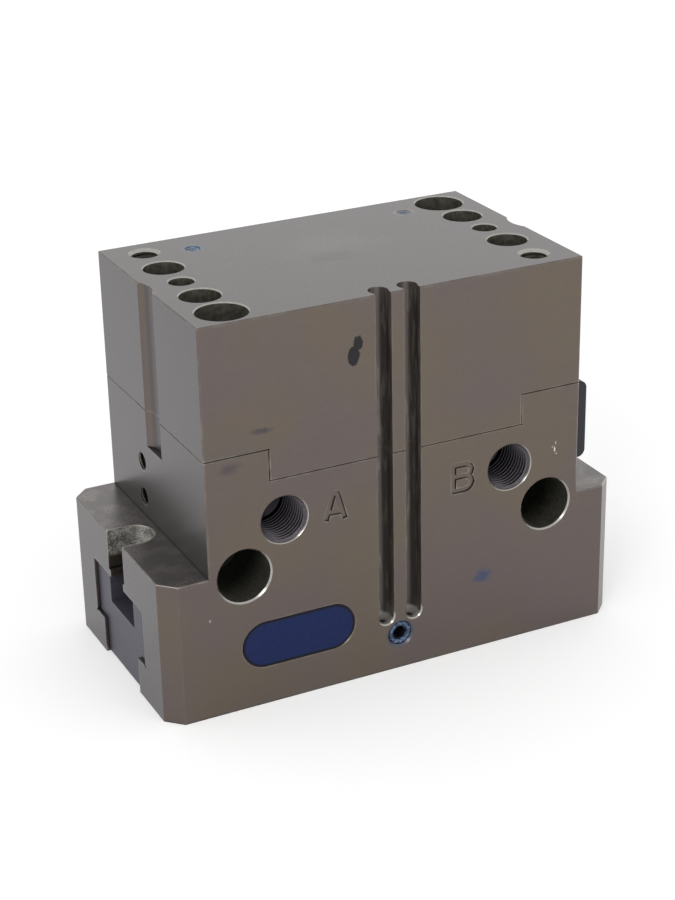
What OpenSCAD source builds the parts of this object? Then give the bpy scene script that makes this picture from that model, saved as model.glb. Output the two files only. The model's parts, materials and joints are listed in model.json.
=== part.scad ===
// Pneumatic two-jaw parallel gripper with a spring housing that keeps the grip force.
// X is the line of jaw travel, -Y the front with the air ports, +Z points at the mounting face.
// The jaw side stands on z = 0. Drawn at rest: jaws closed, piston up, springs at their longest.
// A wedge hook turns the piston's travel along Z into equal and opposite travel of both jaws.

/* [Overall] */
// Length of the jaw guide from end to end
guide_l = 100; // [92:1:120]
// Length of the upper block
body_l = 81; // [74:1:90]
// Depth from front to back
depth = 50; // [48:1:60]
// Height from the jaw side to the mounting face
total_h = 80; // [80:1:96]
// Height of the wide guide block
guide_h = 29.7; // [28:0.1:32]
// Chamfer on the four upright edges of the guide block
guide_corner = 3.2; // [1:0.1:5]
// Small chamfer that breaks the outer edges
edge_break = 0.2; // [0.1:0.1:0.8]

/* [Split between the housings] */
// Height of the split at both ends
split_z = 53.7; // [52:0.1:56]
// Height of the underside of the spring housing's tongue
tongue_z = 47.3; // [46.5:0.1:49]
// Half length of the tongue
tongue_half = 27.3; // [25:0.1:28]
// Gap beside the tongue
tongue_gap = 0.08; // [0.02:0.01:0.1]
// Chamfer on each side of the split line
split_break = 0.15; // [0.1:0.05:0.3]

/* [Jaw guide] */
// Width of the T-slot between its lips
slot_neck = 18.6; // [16:0.1:20]
// Width of the T-slot's head
slot_head = 26.6; // [24:0.1:30]
// Height of the lips
lip_h = 7.8; // [6:0.1:9]
// Height of the T-slot's roof
slot_h = 19.8; // [18:0.1:21]
// Machining relief in the lower corners of the T-slot
slot_relief = 0.6; // [0.3:0.1:1]
// Small chamfer in the two upper corners of the T-slot
slot_corner = 0.4; // [0.1:0.1:0.8]
// Width of the round-ended notch over each end of the slot
notch_w = 8.5; // [6.5:0.1:9]
// Length of that notch
notch_l = 8.3; // [6:0.1:9]
// Width of the ledge low in the notch
ledge_w = 0.9; // [0.3:0.1:1.2]
// Height of the ledge over the roof of the T-slot
ledge_h = 1.5; // [0.8:0.1:3]

/* [Base jaws] */
// Travel of each jaw
jaw_stroke = 10; // [6:0.5:12]
// Running gap between jaw and guide on each face
slide_gap = 0.1; // [0.05:0.01:0.15]
// How far the closed jaw lies inside the end of the guide
jaw_inset = 0.75; // [0.2:0.05:2]
// Distance of the jaw's mounting face above the floor of the guide
jaw_lift = 0.2; // [0.1:0.05:0.5]
// Half of the gap between the closed jaws at their foot
jaw_meet = 3; // [2:0.1:4]
// Width of the pocket in the jaw's outer end
pocket_w = 12.8; // [8:0.1:14]
// Height of that pocket's floor
pocket_z = 12.7; // [12:0.1:15]
// Length of that pocket
pocket_l = 14; // [8:0.5:15]
// Distance of the first finger thread from the jaw's outer end
finger_edge = 6.25; // [6:0.05:8]
// Spacing of the two finger threads
finger_pitch = 16; // [14:0.5:17]
// Depth of the finger threads
finger_depth = 10; // [6:0.5:10.5]
// Diameter of the centring recess round each finger thread
finger_ring_d = 8; // [7:0.1:9]
// Depth of the centring recess
finger_ring_h = 2; // [1:0.1:3]

/* [Wedge hook] */
// Width of the hook block, front to back
hook_w = 17.6; // [14:0.1:18]
// Height of the hook block, where the piston's travel leaves room for it
hook_h = 7.3; // [6:0.1:8]
// Least gap between the lowered hook and the closed floor of the jaw's slot
hook_low = 0.3; // [0.1:0.1:0.6]
// Width of the neck of the inclined T rib
rib_neck = 6.8; // [5:0.1:8]
// Width of the head of the inclined T rib
rib_head = 12.8; // [10:0.1:14]
// Height of the neck of the rib, square to the incline
rib_neck_t = 3; // [2:0.1:3.5]
// Height of the head of the rib, square to the incline
rib_head_t = 2.8; // [2:0.1:3.5]
// Gap round the rib in the jaw
rib_gap = 0.1; // [0.05:0.01:0.15]
// Closed floor under the rib's slot in the jaw
rib_floor = 2; // [1:0.1:2.2]
// Diameter of the piston rod
rod_d = 12; // [10:0.5:13]

/* [Cylinder] */
// Bore of the cylinder
bore_d = 36; // [32:0.5:37]
// Travel of the piston
piston_stroke = 10; // [8:0.5:12]
// Thickness of the piston
piston_t = 7.5; // [7:0.1:8]
// Radial running gap of piston and rods
run_gap = 0.05; // [0.02:0.01:0.08]
// Axial gap at both ends of the travel
end_gap = 0.15; // [0.1:0.01:0.3]
// Depth of the seal groove in the piston
seal_t = 2.5; // [2:0.1:3]
// Height of the seal groove in the piston
seal_h = 3; // [2:0.1:3.2]
// Chamfer on the piston's upper edge that lets air in
piston_chamfer = 1.2; // [0.5:0.1:1.5]
// Depth of the centring recess for the rod in the piston
rod_seat = 1.5; // [1:0.1:2]
// Height of the cover's spigot in the cylinder
spigot_h = 3.45; // [3.3:0.05:4]
// Thickness of the cover's flange
flange_t = 2.5; // [2:0.1:3]
// Width of the cover's flange outside the bore
flange_lip = 1.4; // [1:0.1:1.6]

/* [Springs] */
// Diameter of the spring pocket in the upper housing
pocket_d = 34; // [32:0.5:36]
// Thickness of the wall over the springs
roof_t = 3; // [3:0.5:5]
// Diameter of the spring plate
plate_d = 32.8; // [31:0.1:33.2]
// Thickness of the spring plate
plate_t = 3.5; // [3.5:0.1:4.5]
// Outer diameter of the distance sleeve
sleeve_d = 11; // [10:0.5:12]
// Wire of the outer spring
outer_wire = 2.4; // [2:0.1:2.6]
// Mean diameter of the outer spring
outer_d = 27.2; // [26:0.1:28]
// Turns of the outer spring
outer_turns = 5; // [4:0.5:5]
// Wire of the inner spring
inner_wire = 1.8; // [1.4:0.1:2]
// Mean diameter of the inner spring
inner_d = 17.4; // [16:0.1:19]
// Turns of the inner spring
inner_turns = 6.5; // [5:0.5:6.5]

/* [Mounting face] */
// Distance of the hole rows from the ends of the upper block
row_edge = 7.5; // [7:0.1:9]
// Distance of the outermost holes from the middle
corner_y = 19; // [18:0.1:19.5]
// Distance of the 8 mm holes from the middle
screw_y = 9; // [8.5:0.1:9.5]
// Diameter of the counterbores over the housing screws
screw_bore_d = 8; // [7.5:0.1:8.5]
// Depth of those counterbores
screw_bore_h = 18; // [15:0.5:19]
// Diameter of the dowel holes
dowel_hole_d = 5; // [4:0.1:6]
// Depth of the dowel holes
dowel_hole_h = 10; // [6:0.5:14]
// Diameter of the centring bores in two opposite corners
centring_d = 10; // [9:0.1:11]
// Depth of the centring bores
centring_h = 12; // [6:0.5:18]
// Core diameter of the mounting threads in the other two corners
mount_core_d = 5.2; // [5:0.1:5.4]
// Diameter of their chamfer
mount_mouth_d = 6.4; // [6:0.1:7]
// Depth of the mounting threads
mount_h = 14; // [9:0.5:18]
// Distance of the two plugs from the middle, along X
plug_x = 23.6; // [22:0.1:25]
// Distance of the two plugs from the middle, towards the back
plug_y = 17; // [15:0.1:19]

/* [Front] */
// Distance of the air ports from the middle
port_x = 24.6; // [24:0.1:26]
// Height of the air ports
port_z = 38.7; // [38:0.1:40]
// Core diameter of the air ports
port_core_d = 8.6; // [8:0.1:9]
// Diameter of the countersink of the air ports
port_mouth_d = 10; // [9.2:0.1:10.5]
// Depth of the threads of the air ports
port_h = 11; // [8:0.5:12]
// Diameter of the air channels
channel_d = 2.4; // [2:0.1:2.6]
// Distance of the side mounting holes from the middle
side_x = 33.2; // [32.5:0.1:33.5]
// Height of the side mounting holes
side_z = 28.7; // [28:0.1:29]
// Diameter of their counterbores
side_bore_d = 11; // [10:0.1:11.4]
// Depth of their counterbores
side_bore_h = 15; // [8:0.5:15]
// Diameter of their through holes
side_through_d = 6.6; // [6.4:0.1:6.8]
// Distance of the sensor grooves from the middle
groove_x = 3.05; // [3:0.05:4]
// Width of the mouth of a sensor groove
groove_mouth = 3.3; // [3:0.1:3.6]
// Diameter of the round inside of a sensor groove
groove_d = 3.95; // [3.8:0.05:4.2]
// Depth of a sensor groove
groove_t = 4.1; // [3.8:0.1:4.3]
// Height of the closed end of a sensor groove
groove_end = 10.4; // [10:0.1:14]
// Height of the purge-air hole
purge_z = 7.6; // [5.5:0.1:7.6]
// Length of the name plate
label_l = 24.1; // [15:0.1:26]
// Height of the name plate
label_h = 9.8; // [6:0.1:11]
// Place of the name plate along X
label_x = -22.15; // [-24:0.05:-20]
// Height of the middle of the name plate
label_z = 13; // [9:0.1:15]
// Thickness of the name plate
label_t = 0.3; // [0.2:0.1:0.5]

/* [Ends] */
// Width of the round-bottomed upright channel in each end face
groove_w = 7.6; // [5:0.1:8]
// Depth of that channel
end_groove_t = 1.2; // [0.6:0.1:1.4]
// Height of the channel's foot
end_groove_z = 46; // [45:0.1:47]
// Distance of the tapped holes in the ends from the middle
end_hole_y = 7.1; // [6.5:0.1:8]
// Height of the lower tapped hole
end_hole_z = 33.8; // [33.6:0.1:35]
// Spacing of the two tapped holes
end_hole_pitch = 7.7; // [7:0.1:8]
// Depth of the tapped holes
end_hole_h = 5; // [3:0.1:5.4]
// Thickness of the black end bracket
bracket_t = 5; // [4:0.1:6]
// Height of the bracket
bracket_h = 16.7; // [15:0.1:17]
// Height of the bracket's underside
bracket_z = 34.7; // [34:0.1:36]
// Distance of the bracket's front end from the front face
bracket_edge = 5; // [2:0.1:6]
// Radius of the bracket's outer edges
bracket_r = 1.6; // [0.5:0.1:2.4]

/* [Fasteners] */
// Diameter of the housing screws
screw_d = 4; // [3:0.5:4]
// Length of the housing screws under the head
screw_l = 16; // [12:1:18]
// Diameter of the tie bolt
tie_d = 6; // [5:0.5:6]
// Length of the tie bolt with its countersunk head
tie_l = 50; // [46:1:52]
// Diameter of the dowel pins between the housings
pin_d = 4; // [3:0.5:4]
// Length of those pins
pin_l = 12; // [8:1:14]
// Diameter of the purge screw
purge_d = 5; // [4:0.5:5]
// Length of the purge screw
purge_l = 6; // [4:0.5:8]
// Diameter of the two plugs
plug_d = 3; // [2.5:0.5:4]
// Length of the two plugs
plug_l = 4; // [3:0.5:5]
// Diameter of the sensor magnet
magnet_d = 4; // [3:0.5:5]
// Thickness of the sensor magnet
magnet_t = 2.4; // [1.5:0.1:2.5]
// Diameter of the bracket screw
bracket_screw_d = 3.4; // [3:0.1:3.6]

/* [Hidden] */
$fn = 48;

over = 1;                  // how far a cut runs past the face it opens
tip = tan(31);             // height of a drill point over its radius, 118 degrees

front_y = -depth / 2;
row_x = body_l / 2 - row_edge;
jaw_end = guide_l / 2 - jaw_inset;

// The incline: a jaw's inner face stands at incline(z) when closed.
ratio = jaw_stroke / piston_stroke;
slant = sqrt(1 + ratio * ratio);
function incline(z) = jaw_meet + ratio * z;
function hook_face(z) = incline(z) - slide_gap * slant;

// Heights of the drive at rest, from the jaws up
hook_top = slot_h - 2 * slide_gap;
hook_foot = max(hook_top - hook_h, rib_floor + piston_stroke + hook_low);
chamber_top = tongue_z - spigot_h;
piston_top = chamber_top - end_gap;
piston_foot = piston_top - piston_t;
chamber_foot = piston_foot - piston_stroke - end_gap;
rod_top = piston_foot + rod_seat;
seat_z = tongue_z + flange_t;
plate_top = total_h - roof_t - 0.5;
plate_foot = plate_top - plate_t;
seal_foot = piston_top - piston_chamfer - 0.6 - seal_h;

// Seals
rod_seal_h = 2.6;
rod_seal_t = 3;
rod_seal_z = (slot_h + chamber_foot - rod_seal_h) / 2;
cover_groove_t = 1.5;
cover_groove_h = 1.8;
cover_groove_z = chamber_top + 0.8;
cover_seal_t = 2.4;
cover_seal_h = 2.2;
cover_seal_z = chamber_top + 1.4;
seal_slack = 0.1;          // axial room of a ring in its groove

flange_d = bore_d + 2 * flange_lip;
magnet_y = -(bore_d / 2 - seal_t - magnet_d / 2 - 1);
screw_seat = total_h - screw_bore_h;
screw_head_d = screw_d * 1.75;
tie_sink = 0.5;            // how far the tie bolt's head lies under the plate's upper face
tie_head_h = plate_t - tie_sink;
plug_sink = 0.15;
purge_sink = 0.8;
pin_z = split_z - pin_l / 2;
bracket_top = bracket_z + bracket_h;
end_groove_r = (groove_w * groove_w / 4 + end_groove_t * end_groove_t) / (2 * end_groove_t);
bracket_screw_z = end_hole_z + end_hole_pitch;
bracket_l = 2 * (depth / 2 - bracket_edge - end_hole_y);
bracket_sink = 2.6;        // depth of the recess for the bracket screw's head
bracket_head_d = 6.9;
bracket_head_h = 2.2;

// ---- Helpers ----

// Stands a flat shape drawn in (x, z) upright and gives it a width along Y, half on each side.
module upright(w) rotate([90, 0, 0]) linear_extrude(w, center = true) children();

// The same for a shape drawn in (y, z) that runs along X.
module along_x(l) rotate([90, 0, 90]) linear_extrude(l, center = true) children();

// A rectangle whose four corners are cut at 45 degrees.
module cut_rectangle(l, w, c)
    polygon([
        [-l / 2 + c, -w / 2], [l / 2 - c, -w / 2], [l / 2, -w / 2 + c], [l / 2, w / 2 - c],
        [l / 2 - c, w / 2], [-l / 2 + c, w / 2], [-l / 2, w / 2 - c], [-l / 2, -w / 2 + c]
    ]);

// The side view of a block whose two upper edges are broken.
module broken_top(l, z0, z1, c)
    polygon([
        [-l / 2, z0], [l / 2, z0], [l / 2, z1 - c],
        [l / 2 - c, z1], [-l / 2 + c, z1], [-l / 2, z1 - c]
    ]);

// A block with chamfered upright edges and broken upper edges.
module block(l, w, z0, z1, corner)
    intersection() {
        translate([0, 0, z0]) linear_extrude(z1 - z0) cut_rectangle(l, w, corner);
        upright(w + over) broken_top(l, z0, z1, edge_break);
        along_x(l + over) broken_top(w, z0, z1, edge_break);
    }

// A blind hole down from z = 0. mouth is the diameter of its countersink.
module hole(d, h, mouth = 0, pointed = false) {
    wide = mouth > d ? mouth : d + 0.4;
    sink = (wide - d) / 2;
    translate([0, 0, -h]) cylinder(d = d, h = h + over);
    translate([0, 0, -sink]) cylinder(d1 = d, d2 = wide + 2 * over, h = sink + over);
    if (pointed) translate([0, 0, -h - d / 2 * tip]) cylinder(d1 = 0, d2 = d, h = d / 2 * tip);
}

// A ring of rectangular section.
module ring(outer_r, inner_r, z, h)
    translate([0, 0, z])
        rotate_extrude() translate([inner_r, 0]) square([outer_r - inner_r, h]);

// A straight drilled channel between two points.
module channel(a, b) {
    v = b - a;
    l = norm(v);
    translate(a) rotate([0, acos(v.z / l), atan2(v.y, v.x)]) cylinder(d = channel_d, h = l);
}

// Socket head screw, its head resting on z = 0.
module socket_screw(d, l, head_d, head_h)
    difference() {
        union() {
            cylinder(d = head_d, h = head_h - 0.3);
            translate([0, 0, head_h - 0.3]) cylinder(d1 = head_d, d2 = head_d - 0.6, h = 0.3);
            translate([0, 0, -l + 0.4]) cylinder(d = d, h = l - 0.4);
            translate([0, 0, -l]) cylinder(d1 = d - 0.8, d2 = d, h = 0.4);
        }
        translate([0, 0, head_h / 2]) hex_socket(d * 0.75, head_h);
    }

// Set screw with a hexagon socket, its top at z = 0.
module set_screw(d, l, key)
    difference() {
        union() {
            translate([0, 0, -l + 0.5]) cylinder(d = d, h = l - 0.9);
            translate([0, 0, -0.4]) cylinder(d1 = d, d2 = d - 0.8, h = 0.4);
            translate([0, 0, -l]) cylinder(d1 = d - 1, d2 = d, h = 0.5);
        }
        translate([0, 0, -l * 0.4]) hex_socket(key, l);
    }

module hex_socket(key, h) cylinder(d = key / cos(30), h = h, $fn = 6);

// Compression spring of round wire between z = 0 and h, its end turns closed.
module coil_spring(mean_d, wire, turns, h) {
    sides = 8;
    steps = ceil(turns * 20);
    dead = wire * 1.06;
    travel = h - wire;
    lead = (travel - 2 * dead) / (turns - 2);
    function rise(t) =
        t < 1 ? dead * t
        : t > turns - 1 ? travel - dead * (turns - t)
        : dead + lead * (t - 1);
    points = [
        for (i = [0 : steps], k = [0 : sides - 1])
            let (
                t = turns * i / steps,
                r = mean_d / 2 + wire / 2 * cos(360 * k / sides)
            )
            [r * cos(360 * t), r * sin(360 * t), rise(t) + wire / 2 * (1 + sin(360 * k / sides))]
    ];
    skin = [
        for (i = [0 : steps - 1], k = [0 : sides - 1])
            let (a = i * sides + k, b = i * sides + (k + 1) % sides)
            [a, b, b + sides, a + sides]
    ];
    first = [[for (k = [sides - 1 : -1 : 0]) k]];
    last = [[for (k = [0 : sides - 1]) steps * sides + k]];
    polyhedron(points = points, faces = concat(skin, first, last), convexity = 8);
}

// ---- Features that both housings share ----

// Two round-bottomed grooves for cylindrical sensors, open at the mounting face.
module sensor_grooves() {
    centre_t = groove_t - groove_d / 2;
    foot = groove_end + groove_mouth / 2;
    for (side = [-1, 1]) translate([side * groove_x, front_y, foot]) {
        translate([0, centre_t, 0]) cylinder(d = groove_d, h = total_h);
        translate([0, centre_t, 0]) sphere(d = groove_d);
        translate([-groove_mouth / 2, -over, 0]) cube([groove_mouth, over + centre_t, total_h]);
        translate([0, -over, 0]) rotate([-90, 0, 0]) cylinder(d = groove_mouth, h = over + centre_t);
    }
}

// The shallow upright channel in each end face, milled from above with a round cutter.
module end_grooves()
    for (side = [-1, 1])
        translate([side * (body_l / 2 - end_groove_t + end_groove_r), 0, end_groove_z])
            cylinder(r = end_groove_r, h = total_h, $fn = 96);

// A fine V along the split on the front, the back and the two steps.
module split_line() {
    bar = split_break * sqrt(2);
    // The level cuts run past the upright ones, which are shallower and end inside them
    reach = 1.5 * split_break;
    level_l = body_l / 2 + over - tongue_half + reach;
    for (y = [-depth / 2, depth / 2]) {
        translate([0, y, tongue_z]) rotate([45, 0, 0])
            cube([2 * (tongue_half + reach), bar, bar], center = true);
        for (side = [-1, 1]) {
            translate([side * (tongue_half - reach + level_l / 2), y, split_z]) rotate([45, 0, 0])
                cube([level_l, bar, bar], center = true);
            translate([side * tongue_half, y, (split_z + tongue_z) / 2]) rotate([0, 0, 45])
                cube([0.8 * bar, 0.8 * bar, split_z - tongue_z], center = true);
        }
    }
    for (side = [-1, 1]) translate([side * body_l / 2, 0, split_z]) rotate([0, 45, 0])
        cube([bar, depth + over, bar], center = true);
}

// Places its children at the four housing screws, at the height of their heads' seats.
module at_screws()
    for (sx = [-1, 1], sy = [-1, 1]) translate([sx * row_x, sy * screw_y, screw_seat]) children();

module at_pins() for (side = [-1, 1]) translate([side * row_x, 0, pin_z]) children();

// ---- Housings ----

module slot_section(gap, foot)
    polygon([
        [-slot_neck / 2 + gap, foot], [slot_neck / 2 - gap, foot],
        [slot_neck / 2 - gap, lip_h + gap], [slot_head / 2 - gap, lip_h + gap],
        [slot_head / 2 - gap, slot_h - gap - slot_corner], [slot_head / 2 - gap - slot_corner, slot_h - gap],
        [-slot_head / 2 + gap + slot_corner, slot_h - gap], [-slot_head / 2 + gap, slot_h - gap - slot_corner],
        [-slot_head / 2 + gap, lip_h + gap], [-slot_neck / 2 + gap, lip_h + gap]
    ]);

// A slot of width w with a round inner end, from height z0 up.
module round_slot(w, l, z0)
    translate([guide_l / 2, 0, z0]) {
        translate([-l + w / 2, -w / 2, 0]) cube([l - w / 2 + over, w, guide_h - z0 + over]);
        translate([-l + w / 2, 0, 0]) cylinder(d = w, h = guide_h - z0 + over);
    }

module end_notches()
    for (turn = [0, 180]) rotate([0, 0, turn]) {
        round_slot(notch_w, notch_l, slot_h + ledge_h);
        round_slot(notch_w - 2 * ledge_w, notch_l - ledge_w, slot_h - over);
    }

module air_ports() {
    floor_y = front_y + port_h;
    for (side = [-1, 1]) {
        translate([side * port_x, front_y, port_z]) rotate([90, 0, 0])
            hole(port_core_d, port_h, port_mouth_d, pointed = true);
        // The left port feeds the space over the piston, the right one the space under it.
        goal_z = side < 0 ? piston_top - piston_chamfer / 2 : chamber_foot + channel_d / 2;
        goal = [side * bore_d / 2 * cos(25), -bore_d / 2 * sin(25), goal_z];
        channel([side * (port_x - 1), floor_y - 1.2, port_z], goal);
    }
}

module side_holes()
    for (side = [-1, 1]) translate([side * side_x, front_y, side_z]) rotate([90, 0, 0]) {
        hole(side_bore_d, side_bore_h, side_bore_d + 0.6);
        translate([0, 0, -depth - over]) cylinder(d = side_through_d, h = depth);
    }

module end_holes()
    for (turn = [0, 180], row = [0, 1]) rotate([0, 0, turn])
        translate([-body_l / 2, end_hole_y, end_hole_z + row * end_hole_pitch]) rotate([0, -90, 0])
            hole(bracket_screw_d, end_hole_h);

module label_outline() {
    square([label_l - label_h, label_h], center = true);
    for (side = [-1, 1]) translate([side * (label_l - label_h) / 2, 0]) circle(d = label_h);
}

module gripper_housing() color("#6f6861") difference() {
    union() {
        block(guide_l, depth, 0, guide_h, guide_corner);
        block(body_l, depth, guide_h - 2 * edge_break, split_z, edge_break);
    }
    // Seat of the tongue
    translate([-tongue_half, -depth, tongue_z]) cube([2 * tongue_half, 2 * depth, total_h]);
    // Jaw guide
    along_x(guide_l + 2 * over) slot_section(0, -over);
    for (side = [-1, 1]) translate([0, side * slot_head / 2, lip_h]) rotate([45, 0, 0])
        cube([guide_l + 2 * over, slot_relief, slot_relief], center = true);
    end_notches();
    // Cylinder, rod passage and its seal groove
    translate([0, 0, chamber_foot]) cylinder(d = bore_d, h = total_h);
    translate([0, 0, slot_h - over]) cylinder(d = rod_d + 2 * run_gap, h = chamber_foot);
    ring(rod_d / 2 + rod_seal_t, rod_d / 2 - over, rod_seal_z, rod_seal_h);
    air_ports();
    side_holes();
    end_holes();
    sensor_grooves();
    end_grooves();
    split_line();
    // Threads of the housing screws and bores of the pins
    at_screws() translate([0, 0, -screw_l - 2]) cylinder(d = screw_d, h = screw_l + over);
    at_pins() cylinder(d = pin_d, h = total_h);
    // Purge-air hole into the jaw guide
    translate([0, front_y, purge_z]) rotate([90, 0, 0]) {
        hole(purge_d, purge_l + purge_sink + 0.5, purge_d + 0.8);
        translate([0, 0, -depth / 2]) cylinder(d = channel_d, h = depth / 2);
    }
    // Recess of the name plate
    translate([label_x, front_y + label_t, label_z]) rotate([90, 0, 0])
        linear_extrude(label_t + over) label_outline();
}

module spring_housing() color("#6f6861") difference() {
    intersection() {
        block(body_l, depth, tongue_z, total_h, edge_break);
        upright(depth + over) polygon([
            [-tongue_half + tongue_gap, tongue_z], [tongue_half - tongue_gap, tongue_z],
            [tongue_half - tongue_gap, split_z], [body_l, split_z], [body_l, total_h + over],
            [-body_l, total_h + over], [-body_l, split_z], [-tongue_half + tongue_gap, split_z]
        ]);
    }
    // Spring pocket and seat of the cylinder cover
    translate([0, 0, tongue_z - over]) cylinder(d = pocket_d, h = total_h - roof_t - tongue_z + over);
    translate([0, 0, tongue_z - over]) cylinder(d = flange_d + 2 * run_gap, h = flange_t + over);
    // Mounting face: the second row is the first one turned by half a turn
    for (turn = [0, 180]) rotate([0, 0, turn]) {
        translate([-row_x, -corner_y, total_h]) hole(centring_d, centring_h);
        translate([-row_x, corner_y, total_h]) hole(mount_core_d, mount_h, mount_mouth_d, pointed = true);
        translate([-row_x, 0, total_h]) hole(dowel_hole_d, dowel_hole_h);
    }
    for (sx = [-1, 1], sy = [-1, 1]) translate([sx * row_x, sy * screw_y, total_h])
        hole(screw_bore_d, screw_bore_h);
    at_screws() translate([0, 0, -total_h]) cylinder(d = screw_d + 0.5, h = total_h + over);
    at_pins() translate([0, 0, -over]) cylinder(d = pin_d, h = pin_l + over + 0.5);
    for (side = [-1, 1]) translate([side * plug_x, plug_y, total_h])
        hole(plug_d, plug_l + plug_sink + 1.5, plug_d + 0.3);
    sensor_grooves();
    end_grooves();
    split_line();
}

// ---- Base jaws ----

// The slanted slot for one rib: far and near are measured square to the incline.
module slanted(near, far, w, foot, top)
    upright(w) polygon([
        [incline(foot) + near * slant, foot], [incline(foot) + far * slant, foot],
        [incline(top) + far * slant, top], [incline(top) + near * slant, top]
    ]);

module finger_threads()
    for (row = [0, 1])
        translate([jaw_end - finger_edge - row * finger_pitch, 0, jaw_lift]) rotate([180, 0, 0]) {
            hole(mount_core_d, finger_depth, pointed = true);
            hole(finger_ring_d, finger_ring_h);
        }

module base_jaw() color("#5d5d66") difference() {
    intersection() {
        translate([guide_l / 2, 0, 0]) along_x(guide_l) slot_section(slide_gap, jaw_lift);
        upright(depth) polygon([
            [incline(jaw_lift), jaw_lift], [jaw_end, jaw_lift], [jaw_end, slot_h], [incline(slot_h), slot_h]
        ]);
    }
    // Slanted T-slot that takes the hook's rib
    head_near = rib_neck_t - rib_gap;
    head_far = rib_neck_t + rib_head_t + rib_gap;
    slanted(-over, head_far, rib_neck + 2 * rib_gap, rib_floor, slot_h);
    slanted(head_near, head_far, rib_head + 2 * rib_gap, rib_floor, slot_h);
    translate([jaw_end - pocket_l, -pocket_w / 2, pocket_z]) cube([pocket_l + over, pocket_w, slot_h]);
    finger_threads();
}

module base_jaw_right() base_jaw();

module base_jaw_left() mirror([1, 0, 0]) base_jaw();

// ---- Drive ----

module wedge_hook() color("#8a8c92") difference() {
    union() {
        upright(hook_w) polygon([
            [-hook_face(hook_foot), hook_foot], [hook_face(hook_foot), hook_foot],
            [hook_face(hook_top), hook_top], [-hook_face(hook_top), hook_top]
        ]);
        for (side = [0, 1]) mirror([side, 0, 0]) {
            slanted(-over, rib_neck_t, rib_neck, hook_foot, hook_top);
            slanted(rib_neck_t, rib_neck_t + rib_head_t, rib_head, hook_foot, hook_top);
        }
        translate([0, 0, hook_top - over]) cylinder(d = rod_d, h = rod_top - hook_top + over);
    }
    // Thread of the tie bolt
    translate([0, 0, plate_top - tie_l - 2]) cylinder(d = tie_d, h = tie_l);
}

module piston() color("#a9adb1") difference() {
    r = bore_d / 2 - run_gap;
    translate([0, 0, piston_foot]) rotate_extrude() polygon([
        [0, 0], [r, 0], [r, seal_foot - piston_foot], [r - seal_t, seal_foot - piston_foot],
        [r - seal_t, seal_foot - piston_foot + seal_h], [r, seal_foot - piston_foot + seal_h],
        [r, piston_t - piston_chamfer], [r - piston_chamfer, piston_t], [0, piston_t]
    ]);
    translate([0, 0, piston_foot - over]) cylinder(d = tie_d + 0.2, h = piston_t + 2 * over);
    translate([0, 0, piston_foot - over]) cylinder(d = rod_d, h = rod_seat + over);
    translate([0, magnet_y, piston_foot - over]) cylinder(d = magnet_d, h = magnet_t + 0.1 + over);
}

// Lip seal: its outer lip nearly meets the bore.
module piston_seal() color("#1d1d1f") {
    inner = bore_d / 2 - run_gap - seal_t;
    outer = bore_d / 2 - run_gap / 2;
    translate([0, 0, seal_foot + seal_slack / 2]) rotate_extrude() polygon([
        [inner, 0], [outer - 0.6, 0], [outer, 0.5], [outer - 0.5, (seal_h - seal_slack) / 2],
        [outer, seal_h - seal_slack - 0.5], [outer - 0.6, seal_h - seal_slack], [inner, seal_h - seal_slack]
    ]);
}

module sensor_magnet() color("#c9ccd0")
    translate([0, magnet_y, piston_foot + 0.1]) cylinder(d = magnet_d, h = magnet_t);

module rod_seal() color("#1d1d1f")
    ring(
        rod_d / 2 + rod_seal_t, rod_d / 2 + run_gap / 2,
        rod_seal_z + seal_slack / 2, rod_seal_h - seal_slack
    );

module cylinder_cover() color("#b3b6b8") {
    r = bore_d / 2 - run_gap / 2;
    hole_r = sleeve_d / 2 + run_gap;
    rotate_extrude() polygon([
        [hole_r, chamber_top], [r - 0.4, chamber_top], [r, chamber_top + 0.4],
        [r, cover_groove_z], [r - cover_groove_t, cover_groove_z],
        [r - cover_groove_t, cover_groove_z + cover_groove_h], [r, cover_groove_z + cover_groove_h],
        [r, tongue_z], [flange_d / 2, tongue_z], [flange_d / 2, seat_z], [hole_r, seat_z],
        [hole_r, cover_seal_z + cover_seal_h], [hole_r + cover_seal_t, cover_seal_z + cover_seal_h],
        [hole_r + cover_seal_t, cover_seal_z], [hole_r, cover_seal_z]
    ]);
}

module cover_o_ring() color("#1d1d1f") {
    cord = cover_groove_t;
    translate([0, 0, cover_groove_z + cover_groove_h / 2]) rotate_extrude()
        translate([bore_d / 2 - run_gap / 2 - cord / 2, 0]) circle(d = cord);
}

module cover_rod_seal() color("#1d1d1f")
    ring(
        sleeve_d / 2 + run_gap + cover_seal_t, sleeve_d / 2 + run_gap / 2,
        cover_seal_z + seal_slack / 2, cover_seal_h - seal_slack
    );

module distance_sleeve() color("#c4c6c8")
    ring(sleeve_d / 2, tie_d / 2 + 0.1, piston_top, plate_foot - piston_top);

module spring_plate() color("#8a8c92") difference() {
    translate([0, 0, plate_foot]) cylinder(d = plate_d, h = plate_t);
    translate([0, 0, plate_foot - over]) cylinder(d = tie_d + 0.2, h = plate_t + 2 * over);
    tie_head();
    // Room over the bolt's head, and a chamfer round the upper rim
    translate([0, 0, plate_top - tie_sink]) cylinder(d = tie_d + 2 * tie_head_h, h = over);
    translate([0, 0, plate_top - edge_break]) difference() {
        cylinder(d = plate_d + over, h = over);
        cylinder(d1 = plate_d, d2 = plate_d - 2 * over, h = over);
    }
}

// The countersunk head of the tie bolt, which is also the cut in the plate.
module tie_head()
    translate([0, 0, plate_foot]) cylinder(d1 = tie_d, d2 = tie_d + 2 * tie_head_h, h = tie_head_h);

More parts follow.
